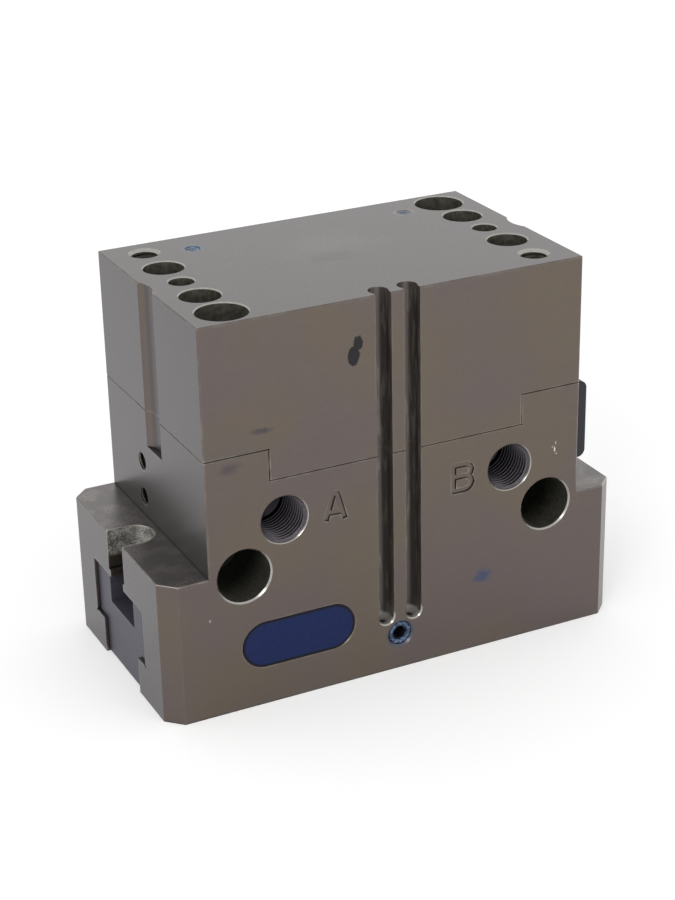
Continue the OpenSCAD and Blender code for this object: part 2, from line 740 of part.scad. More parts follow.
module tie_bolt() color("#3a3a3d") difference() {
    union() {
        tie_head();
        translate([0, 0, plate_top - tie_l]) cylinder(d = tie_d, h = tie_l - 1);
    }
    translate([0, 0, plate_top - tie_sink - tie_head_h * 0.6]) hex_socket(4, tie_head_h);
}

module spring_outer() color("#7d8085")
    translate([0, 0, seat_z + seal_slack / 2])
        coil_spring(outer_d, outer_wire, outer_turns, plate_foot - seat_z - seal_slack);

module spring_inner() color("#7d8085")
    translate([0, 0, seat_z + seal_slack / 2])
        coil_spring(inner_d, inner_wire, inner_turns, plate_foot - seat_z - seal_slack);

// ---- Fasteners and small parts ----

module housing_screws() color("#2f2f31") at_screws() socket_screw(screw_d, screw_l, screw_head_d, screw_d);

module housing_dowels() color("#b9bcc0") at_pins() {
    translate([0, 0, 0.4]) cylinder(d = pin_d, h = pin_l - 0.8);
    cylinder(d1 = pin_d - 0.8, d2 = pin_d, h = 0.4);
    translate([0, 0, pin_l - 0.4]) cylinder(d1 = pin_d, d2 = pin_d - 0.8, h = 0.4);
}

module air_plugs() color("#4b7fb8")
    for (side = [-1, 1])
        translate([side * plug_x, plug_y, total_h - plug_sink]) set_screw(plug_d, plug_l, 1.5);

module purge_screw() color("#4d4f55")
    translate([0, front_y + purge_sink, purge_z]) rotate([90, 0, 0]) set_screw(purge_d, purge_l, 2.5);

module name_plate() color("#25307a")
    translate([label_x, front_y + label_t, label_z]) rotate([90, 0, 0])
        linear_extrude(label_t) label_outline();

module bracket_section() {
    x = body_l / 2;
    translate([x, bracket_z]) square([bracket_t - bracket_r, bracket_h]);
    translate([x, bracket_z + bracket_r]) square([bracket_t, bracket_h - 2 * bracket_r]);
    for (z = [bracket_z + bracket_r, bracket_top - bracket_r])
        translate([x + bracket_t - bracket_r, z]) circle(bracket_r);
}

module end_bracket() color("#232326") difference() {
    union() {
        translate([0, -end_hole_y, 0]) upright(bracket_l) bracket_section();
        // Round key that sits in the upright channel and stops the bracket from turning
        translate([body_l / 2 - end_groove_t + end_groove_r, 0, end_groove_z + 0.1]) intersection() {
            cylinder(r = end_groove_r - 0.1, h = bracket_top - end_groove_z - 0.1, $fn = 96);
            translate([-end_groove_r, -groove_w, 0]) cube([end_groove_t + 0.5, 2 * groove_w, bracket_h]);
        }
    }
    translate([body_l / 2 + bracket_t, -end_hole_y, bracket_screw_z]) rotate([0, 90, 0]) {
        hole(bracket_screw_d + 0.5, bracket_t + over);
        hole(bracket_head_d + 0.6, bracket_sink);
    }
}

module bracket_screw() color("#2f2f31") {
    grip = bracket_t - bracket_sink;
    translate([body_l / 2 + grip, -end_hole_y, bracket_screw_z]) rotate([0, 90, 0])
        socket_screw(bracket_screw_d, grip + end_hole_h - 0.5, bracket_head_d, bracket_head_h);
}

gripper_housing();
spring_housing();
base_jaw_left();
base_jaw_right();
wedge_hook();
piston();
piston_seal();
sensor_magnet();
rod_seal();
cylinder_cover();
cover_o_ring();
cover_rod_seal();
distance_sleeve();
spring_plate();
tie_bolt();
spring_outer();
spring_inner();
housing_screws();
housing_dowels();
air_plugs();
purge_screw();
name_plate();
end_bracket();
bracket_screw();
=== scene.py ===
import json
import math

import bmesh
import bpy
from mathutils import Matrix, Vector, noise


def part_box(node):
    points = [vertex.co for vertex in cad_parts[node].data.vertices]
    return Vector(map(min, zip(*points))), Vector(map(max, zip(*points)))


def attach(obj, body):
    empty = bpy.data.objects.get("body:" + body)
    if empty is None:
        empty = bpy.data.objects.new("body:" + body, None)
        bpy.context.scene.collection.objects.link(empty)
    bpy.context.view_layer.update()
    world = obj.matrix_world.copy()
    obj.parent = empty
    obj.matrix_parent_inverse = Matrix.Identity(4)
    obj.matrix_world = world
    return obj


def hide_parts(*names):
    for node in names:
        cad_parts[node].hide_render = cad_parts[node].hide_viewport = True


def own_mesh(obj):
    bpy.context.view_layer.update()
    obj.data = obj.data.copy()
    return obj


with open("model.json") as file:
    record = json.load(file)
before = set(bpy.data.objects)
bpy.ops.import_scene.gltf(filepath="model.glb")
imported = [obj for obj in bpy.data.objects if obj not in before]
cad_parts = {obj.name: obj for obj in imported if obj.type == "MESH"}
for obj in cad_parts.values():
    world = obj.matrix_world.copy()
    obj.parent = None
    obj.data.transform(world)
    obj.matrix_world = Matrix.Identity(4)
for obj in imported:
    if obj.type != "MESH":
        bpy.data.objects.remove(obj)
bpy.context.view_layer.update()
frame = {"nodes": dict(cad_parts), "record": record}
nodes = frame["nodes"]
scene = bpy.context.scene
mm = 0.001
print("frame loaded:", len(nodes), "CAD nodes")

# Camera

cameraSetup = {
    "place": (-166.91, -341.79, 207.58),  # mm
    "right": (0.89548727, -0.44463209, -0.02012073),
    "forward": (0.39881163, 0.82163486, -0.40726581),
    "lens": 81.83,  # mm on a 36 mm sensor
}


def makeCamera(setup):
    right = Vector(setup["right"]).normalized()
    forward = Vector(setup["forward"]).normalized()
    up = right.cross(forward)
    turn = Matrix((right, up, -forward)).transposed().to_4x4()
    data = bpy.data.cameras.new("camera")
    data.sensor_fit = "AUTO"
    data.sensor_width = 36
    data.lens = setup["lens"]
    data.clip_start = 0.01
    data.clip_end = 20
    data.dof.use_dof = False
    camera = bpy.data.objects.new("camera", data)
    camera.matrix_world = Matrix.Translation(Vector(setup["place"]) * mm) @ turn
    scene.collection.objects.link(camera)
    scene.camera = camera


makeCamera(cameraSetup)
print("camera placed")

# Materials: helpers


def toLinear(hexColour):
    channels = [int(hexColour[i:i + 2], 16) / 255 for i in (1, 3, 5)]
    lit = [c / 12.92 if c <= 0.04045 else ((c + 0.055) / 1.055) ** 2.4 for c in channels]
    return (*lit, 1)


def addNode(tree, kind, settings):
    # A lower-case name sets a property of the node. A number or a capitalised name sets a socket,
    # or links it where the value is another node or one of its outputs.
    node = tree.nodes.new("ShaderNode" + kind)
    for name, value in settings.items():
        if isinstance(name, str) and name[0].islower():
            setattr(node, name, value)
        elif isinstance(value, bpy.types.Node):
            tree.links.new(next(output for output in value.outputs if output.enabled), node.inputs[name])
        elif isinstance(value, bpy.types.NodeSocket):
            tree.links.new(value, node.inputs[name])
        else:
            node.inputs[name].default_value = value
    return node


def newMaterial(name):
    material = bpy.data.materials.new(name)
    material.use_nodes = True
    material.node_tree.nodes.clear()
    return material, material.node_tree


def per(sizeMm):
    # Noise scale whose features are about sizeMm apart, for Object coordinates in metres
    return 1 / (sizeMm * mm)


smooth = {"interpolation_type": "SMOOTHSTEP"}  # for Map Range, so that masks end softly


def within(tree, steps, mask=None):
    # Mask of a zone, in mm: each step is a coordinate, where the mask is 0 along it, and where it is 1
    for source, off, full in steps:
        rises = full > off
        step = addNode(tree, "MapRange", {
            **smooth, "Value": source, "From Min": min(off, full) * mm, "From Max": max(off, full) * mm,
            "To Min": 0 if rises else 1, "To Max": 1 if rises else 0})
        mask = addNode(tree, "Math", {"operation": "MULTIPLY", 0: mask, 1: step}) if mask is not None else step
    return mask


def lay(tree, colour, mask, tone, strength):
    # Lays a tone, a hex colour or a node, over the colour where the mask is
    share = addNode(tree, "Math", {"operation": "MULTIPLY", 0: mask, 1: strength})
    over = toLinear(tone) if isinstance(tone, str) else tone
    return addNode(tree, "Mix", {"data_type": "RGBA", 0: share, 6: colour, 7: over})


def mottled(tree, colour, pattern, limits, shades):
    # Multiplies a colour by a grey that follows a pattern, from the first shade to the second
    shade = addNode(tree, "MapRange", {
        **smooth, "Value": pattern, "From Min": limits[0], "From Max": limits[1],
        "To Min": shades[0], "To Max": shades[1]})
    grey = addNode(tree, "CombineColor", {0: shade, 1: shade, 2: shade})
    return addNode(tree, "Mix", {"data_type": "RGBA", "blend_type": "MULTIPLY", 0: 1.0, 6: colour, 7: grey})


def alongAxis(tree, place, sizesMm, detail=3.0):
    # Noise with a size of its own on each axis
    sized = addNode(tree, "VectorMath", {"operation": "MULTIPLY", 0: place, 1: [per(size) for size in sizesMm]})
    return addNode(tree, "TexNoise", {"Scale": 1.0, "Detail": detail, "Vector": sized})


def patchy(tree, place, sizesMm, limits, shares=(0, 1), detail=3.0):
    # Patches of the same noise, between two shares
    return addNode(tree, "MapRange", {
        **smooth, "Value": alongAxis(tree, place, sizesMm, detail), "From Min": limits[0], "From Max": limits[1],
        "To Min": shares[0], "To Max": shares[1]})


def spot(tree, place, centre, radius, softness, wobble, stretch):
    # Mask of a round mark; centre, radius and wobble in mm. stretch squeezes the mark along an axis.
    moved = addNode(tree, "VectorMath", {"operation": "SUBTRACT", 0: place, 1: Vector(centre) * mm})
    shaped = addNode(tree, "VectorMath", {"operation": "MULTIPLY", 0: moved, 1: stretch})
    away = addNode(tree, "VectorMath", {"operation": "LENGTH", 0: shaped})
    lumps = addNode(tree, "TexNoise", {"Scale": per(radius * 0.9), "Detail": 3, "Vector": place})
    centred = addNode(tree, "Math", {"operation": "SUBTRACT", 0: lumps, 1: 0.5})
    uneven = addNode(tree, "Math", {"operation": "MULTIPLY", 0: centred, 1: wobble * mm * 2})
    away = addNode(tree, "Math", {"operation": "ADD", 0: away, 1: uneven})
    return addNode(tree, "MapRange", {
        **smooth, "Value": away, "From Min": radius * mm * (1 - softness), "From Max": radius * mm * (1 + softness),
        "To Min": 1, "To Max": 0})


def nearEdge(tree, reachMm, low=0.6, high=0.92):
    # 1 close to an outer edge, 0 on a flat face: looks from the surface into the solid
    inside = addNode(tree, "AmbientOcclusion", {"inside": True, "samples": 8, "Distance": reachMm * mm})
    return addNode(tree, "MapRange", {
        **smooth, "Value": inside.outputs["AO"], "From Min": low, "From Max": high, "To Min": 1, "To Max": 0})


def inCorner(tree, reachMm, low, high):
    # 1 deep in a corner or a hole, 0 in the open
    outside = addNode(tree, "AmbientOcclusion", {"samples": 8, "Distance": reachMm * mm})
    return addNode(tree, "MapRange", {
        **smooth, "Value": outside.outputs["AO"], "From Min": low, "From Max": high, "To Min": 1, "To Max": 0})


materials = {}

# Hard-anodised aluminium: both housings.
# Milled block with a thick brown-grey oxide layer: it mirrors its surroundings softly like the metal
# under it, so faces take their tone from what they look at. Feed lines barely seen, edges worn pale.
# Painted shade darkens the hollows and inner corners of the housings, and painted tones mark the end and level faces.

housingFinish = {
    # faces; end and top are tones painted by the way a face points: painted shade on the end faces, a greyer painted
    # light on the level faces
    "warm": "#64594d",
    "cool": "#625755",
    "end": "#433d3e",
    "top": "#5f5a59",
    "cloudMm": 26,
    "lineMm": 0.35,  # feed lines of 0.1 mm drawn as coarse as they need to show
    "grainMm": 0.45,
    "feedShare": 0.35,  # how much of the mottling is feed lines, the rest is grain
    "shades": (0.94, 1.05),
    "roughness": (0.30, 0.39),
    "metallic": 0.94,
    "oxide": 0.5,  # the clear oxide layer turns the faces seen at a slant paler and greyer
    "oxideRoughness": 0.33,
    # what lies on them, and the painted shade and light: colour, strength
    # painted shade deep in hollows, holes and recesses
    "hollowShade": ("#191f22", 0.9),
    "groove": ("#4b4542", 0.7),
    "streak": ("#8f8c85", 0.4),
    "rubbed": ("#a29d94", 0.5),
    "edge": ("#bdb6aa", 0.4),
    # painted shade in inner corners, creases and the split lines
    "creviceShade": ("#191f22", 0.92),
    # bright ledge edges: worn, and brightened further as a painted highlight
    "ledgeWearAndGlint": ("#e4ded2", 0.8),
    # painted light: the upward-facing floors of the grooves' round ends made paler
    "grooveEnd": ("#aeaca4", 0.6),
    "grooveShare": 0.75,  # how much less painted hollow shade and edge wear there is in and beside the sensor grooves
    # rough skin of the notches
    "skin": ("#3a3936", "#b4b3ac"),
    "skinStrength": 0.85,
    "speckleMm": 0.34,
    "dullInGroove": 0.8,
    "dullness": 0.65,  # how much less metallic the dull places are
}

# Where the finish changes, in mm: each pair is where a mask is 0 and where it is 1
grooveZone = {"centre": 3.05, "side": (2.3, 2.0), "lip": (2.6, 2.3), "front": (-25.0, -24.85), "back": (-20, -20.5),
              "low": (10.1, 10.3), "high": (79.98, 79.94), "end": (12.4, 12.2)}
notchZone = {"beyond": (41.3, 41.6), "side": (4.35, 4.3), "low": (23.6, 24.6), "high": (29.6, 29.55)}
ledgeZone = {"low": (29.2, 29.5), "high": (29.8, 29.75), "edge": 29.55, "edgeReach": (0.24, 0.16),
             "beyond": (39.5, 40.5)}

frontMarks = {
    # name: (centre, radius, softness, wobble, stretch, colour, strength), centre and sizes in mm
    "inkTop": ((-8.55, -25, 71.1), 1.0, 0.16, 0.7, (1, 1, 0.72), "#06060e", 0.97),
    "inkLow": ((-9.35, -25, 68.8), 1.25, 0.1, 0.4, (1, 1, 0.66), "#06060e", 0.98),
    "smudge": ((-28.6, -25, 57.7), 1.2, 0.6, 0.8, (0.7, 1, 2.2), "#2f2c3d", 0.6),
    "smudgeLow": ((-35.3, -25, 51.4), 1.4, 0.7, 0.9, (0.8, 1, 1.5), "#33323d", 0.45),
    "blueSmear": ((18.6, -25, 15.9), 1.2, 0.75, 1.1, (0.7, 1, 1.0), "#2a426a", 0.75),
    "scratch": ((35.1, -25, 40.3), 0.28, 0.3, 0.15, (1.6, 1, 0.5), "#d8d6d2", 0.9),
    "scratchHigh": ((35.3, -25, 41.7), 0.2, 0.4, 0.15, (1.4, 1, 0.6), "#c4c2be", 0.7),
    "scratchSide": ((34.6, -25, 40.9), 0.17, 0.4, 0.12, (1, 1, 0.8), "#c4c2be", 0.6),
    "scratchLow": ((35.5, -25, 39.3), 0.2, 0.4, 0.15, (1, 1, 1.4), "#d0ceca", 0.7),
    "nick": ((-40.7, -25, 21.0), 0.2, 0.4, 0.15, (1, 1, 0.7), "#b8b4ac", 0.7),
    "topSmear": ((-1.5, -1, 80), 3.4, 0.5, 2.8, (0.7, 1.4, 1), "#46443c", 0.55),
    "topDust": ((1.2, 5.5, 80), 6.5, 0.8, 5.0, (0.8, 1, 1), "#85827c", 0.2),
    "topNick": ((-4.8, -2.8, 80), 0.24, 0.5, 0.2, (1, 1, 1), "#9a9892", 0.5),
    "plugLeft": ((-23.5, 17, 80), 1.75, 0.4, 0.6, (1, 1, 1), "#5f7f9f", 0.65),
    "purgeRing": ((0, -25, 7.6), 3.0, 0.12, 0.25, (1, 0.4, 1), "#47536a", 0.6),
}


def housingColour(tree, place, look):
    cloud = addNode(tree, "TexNoise", {"Scale": per(look["cloudMm"]), "Detail": 3, "Vector": place})
    clouded = addNode(tree, "MapRange", {**smooth, "Value": cloud, "From Min": 0.35, "From Max": 0.65})
    colour = addNode(tree, "Mix", {
        "data_type": "RGBA", 0: clouded, 6: toLinear(look["warm"]), 7: toLinear(look["cool"])})
    # Painted light and shade by the way a face points: the end faces darker, the level faces greyer
    normal = addNode(tree, "NewGeometry", {}).outputs["Normal"]
    facing = addNode(tree, "SeparateXYZ", {0: normal})
    sideways = addNode(tree, "Math", {"operation": "ABSOLUTE", 0: facing.outputs["X"]})
    onEnd = addNode(tree, "MapRange", {**smooth, "Value": sideways, "From Min": 0.9, "From Max": 0.99})
    colour = addNode(tree, "Mix", {"data_type": "RGBA", 0: onEnd, 6: colour, 7: toLinear(look["end"])})
    upOrDown = addNode(tree, "Math", {"operation": "ABSOLUTE", 0: facing.outputs["Z"]})
    level = addNode(tree, "MapRange", {**smooth, "Value": upOrDown, "From Min": 0.6, "From Max": 0.9})
    colour = addNode(tree, "Mix", {"data_type": "RGBA", 0: level, 6: colour, 7: toLinear(look["top"])})
    # Feed lines run along the block on its level faces and round it on the upright ones
    upright = addNode(tree, "Math", {"operation": "SUBTRACT", 0: 1.0, 1: level})
    linesLevel = alongAxis(tree, place, (30, look["lineMm"], 30))
    linesUpright = alongAxis(tree, place, (30, 30, look["lineMm"]))
    onLevel = addNode(tree, "Math", {"operation": "MULTIPLY", 0: linesLevel, 1: level})
    onUpright = addNode(tree, "Math", {"operation": "MULTIPLY", 0: linesUpright, 1: upright})
    feed = addNode(tree, "Math", {"operation": "ADD", 0: onLevel, 1: onUpright})
    grain = addNode(tree, "TexNoise", {"Scale": per(look["grainMm"]), "Detail": 4, "Vector": place})
    feedPart = addNode(tree, "Math", {"operation": "MULTIPLY", 0: feed, 1: look["feedShare"]})
    grainPart = addNode(tree, "Math", {"operation": "MULTIPLY", 0: grain, 1: 1 - look["feedShare"]})
    mottle = addNode(tree, "Math", {"operation": "ADD", 0: feedPart, 1: grainPart})
    return mottled(tree, colour, mottle, (0.25, 0.75), look["shades"]), feed, grain, facing


def grooveMasks(tree, axis, upward, zone):
    # Inside the sensor grooves, beside them, and on their round lower ends
    fromMiddle = addNode(tree, "Math", {"operation": "ABSOLUTE", 0: axis.outputs["X"]})
    offset = addNode(tree, "Math", {"operation": "SUBTRACT", 0: fromMiddle, 1: zone["centre"] * mm})
    fromCentre = addNode(tree, "Math", {"operation": "ABSOLUTE", 0: offset})
    depth, height = axis.outputs["Y"], axis.outputs["Z"]
    # only between the round end and the mounting face, so that the block's outer faces stay clean
    inside = within(tree, [(fromCentre, *zone["side"]), (depth, *zone["front"]), (depth, *zone["back"]),
                           (height, *zone["low"]), (height, *zone["high"])])
    beside = within(tree, [(fromCentre, *zone["lip"])])
    floor = addNode(tree, "Math", {"operation": "MULTIPLY", 0: inside, 1: upward})
    return inside, beside, within(tree, [(height, *zone["end"])], floor)


def notchMask(tree, axis, zone):
    fromMiddle = addNode(tree, "Math", {"operation": "ABSOLUTE", 0: axis.outputs["X"]})
    aside = addNode(tree, "Math", {"operation": "ABSOLUTE", 0: axis.outputs["Y"]})
    return within(tree, [(fromMiddle, *zone["beyond"]), (aside, *zone["side"]),
                         (axis.outputs["Z"], *zone["low"]), (axis.outputs["Z"], *zone["high"])])


def ledgeMasks(tree, place, axis, upward, zone):
    # The rubbed patches on top of the ledges, and the ledges' bright edges: worn, and brightened further as a painted
    # highlight
    height = axis.outputs["Z"]
    top = within(tree, [(height, *zone["low"]), (height, *zone["high"])], upward)
    broad = patchy(tree, place, (5, 5, 5), (0.42, 0.66))
    fine = patchy(tree, place, (0.35, 0.35, 0.35), (0.35, 0.65), detail=6.0)
    rubbed = addNode(tree, "Math", {"operation": "MULTIPLY", 0: broad, 1: fine})
    rubbed = addNode(tree, "Math", {"operation": "MULTIPLY", 0: rubbed, 1: top})
    offset = addNode(tree, "Math", {"operation": "SUBTRACT", 0: height, 1: zone["edge"] * mm})
    fromEdge = addNode(tree, "Math", {"operation": "ABSOLUTE", 0: offset})
    fromMiddle = addNode(tree, "Math", {"operation": "ABSOLUTE", 0: axis.outputs["X"]})
    edge = within(tree, [(fromEdge, *zone["edgeReach"]), (fromMiddle, *zone["beyond"])],
                  nearEdge(tree, 0.35, 0.55, 0.8))
    return rubbed, edge


def makeHousingMaterial(look, marks):
    material, tree = newMaterial("hardAnodisedAluminium")
    place = addNode(tree, "TexCoord", {}).outputs["Object"]
    axis = addNode(tree, "SeparateXYZ", {0: place})
    colour, feed, grain, facing = housingColour(tree, place, look)
    upward = addNode(tree, "MapRange", {**smooth, "Value": facing.outputs["Z"], "From Min": 0.25, "From Max": 0.5})
    inGroove, byGroove, grooveEnd = grooveMasks(tree, axis, upward, grooveZone)
    rubbed, ledgeWearAndGlint = ledgeMasks(tree, place, axis, upward, ledgeZone)
    # Painted shade: deep places are darkened, less in the sensor grooves
    tone, strength = look["hollowShade"]
    less = addNode(tree, "Math", {"operation": "MULTIPLY", 0: inGroove, 1: look["grooveShare"]})
    strength = addNode(tree, "Math", {"operation": "SUBTRACT", 0: strength, 1: less})
    colour = lay(tree, colour, inCorner(tree, 30.0, 0.05, 0.28), tone, strength)
    # The walls of the sensor grooves are made darker, with streaks of old glue and dust
    colour = lay(tree, colour, inGroove, *look["groove"])
    streaks = patchy(tree, place, (0.8, 0.8, 7), (0.52, 0.62), detail=4.0)
    streaks = addNode(tree, "Math", {"operation": "MULTIPLY", 0: streaks, 1: inGroove})
    colour = lay(tree, colour, streaks, *look["streak"])
    # Rough cast-like skin inside the notches at the ends and on the grooves' round ends
    notch = notchMask(tree, axis, notchZone)
    roughSkin = addNode(tree, "Math", {"operation": "MAXIMUM", 0: notch, 1: grooveEnd})
    speckle = addNode(tree, "TexNoise", {
        "Scale": per(look["speckleMm"]), "Detail": 5, "Roughness": 0.85, "Vector": place})
    patches = patchy(tree, place, (2, 2, 2), (0.3, 0.7), (-0.06, 0.06))
    uneven = addNode(tree, "Math", {"operation": "ADD", 0: speckle, 1: patches})
    pale = addNode(tree, "MapRange", {**smooth, "Value": uneven, "From Min": 0.4, "From Max": 0.62})
    skin = addNode(tree, "Mix", {
        "data_type": "RGBA", 0: pale, 6: toLinear(look["skin"][0]), 7: toLinear(look["skin"][1])})
    colour = lay(tree, colour, roughSkin, skin, look["skinStrength"])
    # The ledges at the ends are rubbed paler in patches
    colour = lay(tree, colour, rubbed, *look["rubbed"])
    # Worn edges, less beside the grooves
    tone, strength = look["edge"]
    less = addNode(tree, "Math", {"operation": "MULTIPLY", 0: byGroove, 1: strength * look["grooveShare"]})
    strength = addNode(tree, "Math", {"operation": "SUBTRACT", 0: strength, 1: less})
    uneven = patchy(tree, place, (3, 3, 3), (0.38, 0.66), (0.15, 1.0))
    worn = addNode(tree, "Math", {"operation": "MULTIPLY", 0: nearEdge(tree, 0.5), 1: uneven})
    colour = lay(tree, colour, worn, tone, strength)
    # Painted shade in the inner corners, creases and split lines
    colour = lay(tree, colour, inCorner(tree, 0.5, 0.5, 0.97), *look["creviceShade"])
    # Bright ledge edges: wear, with a painted highlight on top of it
    colour = lay(tree, colour, ledgeWearAndGlint, *look["ledgeWearAndGlint"])
    # Painted light on the upward-facing floors of the grooves' round ends
    colour = lay(tree, colour, grooveEnd, *look["grooveEnd"])
    for centre, radius, softness, wobble, stretch, tone, strength in marks.values():
        mask = spot(tree, place, centre, radius, softness, wobble, stretch)
        colour = lay(tree, colour, mask, tone, strength)
    # The groove walls and the skin are duller than the bare oxide
    dullGroove = addNode(tree, "Math", {"operation": "MULTIPLY", 0: inGroove, 1: look["dullInGroove"]})
    dull = addNode(tree, "Math", {"operation": "MAXIMUM", 0: roughSkin, 1: dullGroove})
    lost = addNode(tree, "Math", {"operation": "MULTIPLY", 0: dull, 1: look["dullness"]})
    shine = addNode(tree, "Math", {"operation": "SUBTRACT", 0: 1.0, 1: lost})
    metallic = addNode(tree, "Math", {"operation": "MULTIPLY", 0: shine, 1: look["metallic"]})
    roughness = addNode(tree, "MapRange", {
        **smooth, "Value": grain, "From Min": 0.3, "From Max": 0.7,
        "To Min": look["roughness"][0], "To Max": look["roughness"][1]})
    lines = addNode(tree, "Bump", {"Strength": 0.08, "Distance": 0.02 * mm, "Height": feed})
    pitted = addNode(tree, "Math", {"operation": "MULTIPLY", 0: roughSkin, 1: 0.8})
    pits = addNode(tree, "Bump", {"Strength": pitted, "Distance": 0.15 * mm, "Height": speckle, "Normal": lines})
    shader = addNode(tree, "BsdfPrincipled", {
        "Coat Weight": look["oxide"], "Coat IOR": 1.6, "Coat Roughness": look["oxideRoughness"],
        "Base Color": colour, "Normal": pits, "Coat Normal": pits, "Metallic": metallic, "Roughness": roughness})
    addNode(tree, "OutputMaterial", {"Surface": shader})
    return material


materials["anodised_aluminium"] = makeHousingMaterial(housingFinish, frontMarks)

# Bare aluminium of the countersinks and of the holes.
# Cut after anodising, so the rims are bright metal with turning marks. The threads of the air ports lie under a film
# of dark oil: dim, with soft glints on the flanks. The reamed bores are olive-grey and near black where no light
# reaches. In threads and bores, that darkness deep inside is painted shade.

rimFinish = {"name": "bareAluminiumRim", "colour": "#b2afa9", "shades": (0.93, 1.05), "markMm": 0.96, "detail": 5,
             "roughness": (0.22, 0.34), "metallic": 1.0}
# The darkest colour is painted shade far inside a hole
threadFinish = {"name": "oiledThread", "colour": "#5c585c", "shades": (0.8, 1.15), "markMm": 0.8, "detail": 4,
                "roughness": (0.3, 0.4), "metallic": 0.9, "deepShade": "#14121a", "reach": 0.4}
boreFinish = {"name": "reamedBore", "colour": "#7c7a70", "shades": (0.8, 1.15), "markMm": 0.8, "detail": 4,
              "roughness": (0.36, 0.46), "metallic": 0.84, "deepShade": "#10181a", "reach": 0.2}


def makeCutMaterial(look):
    material, tree = newMaterial(look["name"])
    place = addNode(tree, "TexCoord", {}).outputs["Object"]
    marks = addNode(tree, "TexNoise", {"Scale": per(look["markMm"]), "Detail": look["detail"], "Vector": place})
    colour = mottled(tree, toLinear(look["colour"]), marks, (0.3, 0.7), look["shades"])
    if "deepShade" in look:
        # Painted shade: darker deeper in the hole
        colour = lay(tree, colour, inCorner(tree, 30.0, 0.02, look["reach"]), look["deepShade"], 0.92)
    roughness = addNode(tree, "MapRange", {
        **smooth, "Value": marks, "From Min": 0.3, "From Max": 0.7,
        "To Min": look["roughness"][0], "To Max": look["roughness"][1]})
    shader = addNode(tree, "BsdfPrincipled", {
        "Metallic": look["metallic"], "Base Color": colour, "Roughness": roughness})
    addNode(tree, "OutputMaterial", {"Surface": shader})
    return material


rimMaterial = makeCutMaterial(rimFinish)
threadMaterial = makeCutMaterial(threadFinish)
boreMaterial = makeCutMaterial(boreFinish)

# Other metals

metalFinishes = {
    # slot: (name, colour, metallic, roughness, size of the marks along x, y and z in mm)
    # hardened and ground tool steel of the jaws: cool grey, fine straight grinding marks
    "hardened_steel": ("groundToolSteel", "#51505b", 0.45, 0.45, (25, 0.25, 0.25)),
    # wedge hook, sleeve, spring plate and dowels: brighter ground steel, its marks run across
    "ground_steel": ("groundSteel", "#7f7f84", 1.0, 0.28, (0.3, 8, 0.3)),
    # turned aluminium inside: pale, lathe marks
    "turned_aluminium": ("turnedAluminium", "#b4b3b0", 1.0, 0.3, (0.3, 0.3, 8)),
    # nickel plated magnet
    "magnet": ("nickelPlate", "#a8a49c", 1.0, 0.2, (1, 1, 1)),
    # black oxide screws: dark, oily
    "black_screw": ("blackOxideSteel", "#26262a", 0.8, 0.38, (1, 1, 1)),
    # drawn spring wire
    "spring_wire": ("springWire", "#55565b", 1.0, 0.3, (1, 1, 1)),
}
# The first colour is painted shade in corners and hollows, the second paler worn edges
metalShadeAndWear = {"cornerShade": ("#1c1b1c", 0.5), "worn": ("#b0b0b4", 0.35)}  # colour and strength


def makeMetal(name, colour, metallic, roughness, grainMm, shadeAndWear):
    material, tree = newMaterial(name)
    place = addNode(tree, "TexCoord", {}).outputs["Object"]
    marks = alongAxis(tree, place, grainMm)
    tone = mottled(tree, toLinear(colour), marks, (0.3, 0.7), (0.9, 1.08))
    # Painted shade in the corners
    tone = lay(tree, tone, inCorner(tree, 2, 0.1, 0.5), *shadeAndWear["cornerShade"])
    tone = lay(tree, tone, nearEdge(tree, 0.2), *shadeAndWear["worn"])
    bump = addNode(tree, "Bump", {"Strength": 0.12, "Distance": 0.02 * mm, "Height": marks})
    uneven = addNode(tree, "MapRange", {
        **smooth, "Value": marks, "From Min": 0.3, "From Max": 0.7,
        "To Min": roughness - 0.05, "To Max": roughness + 0.06})
    shader = addNode(tree, "BsdfPrincipled", {
        "Metallic": metallic, "Base Color": tone, "Normal": bump, "Roughness": uneven})
    addNode(tree, "OutputMaterial", {"Surface": shader})
    return material


for slot, finish in metalFinishes.items():
    materials[slot] = makeMetal(*finish, metalShadeAndWear)

# Rubber, set screws, plates

plainFinishes = {
    # moulded nitrile rubber of the seals: matt black
    "seal_rubber": {"name": "nitrileRubber", "colour": "#1d1d1f", "roughness": 0.6, "grainMm": 0.3},
    # dark set screw steel with oil on it
    "set_screw_steel": {"name": "darkSetScrew", "colour": "#24262e", "roughness": 0.4, "grainMm": 0.3,
                        "metallic": 0.6},
    # screen-printed foil of the plate: deep blue, faintly mottled
    "blue_plate": {"name": "printedFoil", "colour": "#0f1f4c", "roughness": 0.36, "grainMm": 0.5,
                   "relief": 0.1, "shine": 0.2},
    # black anodised plate, satin
    "black_bracket": {"name": "blackAnodised", "colour": "#29292f", "roughness": 0.42, "grainMm": 0.3,
                      "metallic": 0.3},
}
# the foil's darker printed border
borderFinish = {**plainFinishes["blue_plate"], "name": "printedFoilBorder", "colour": "#0b0e20"}


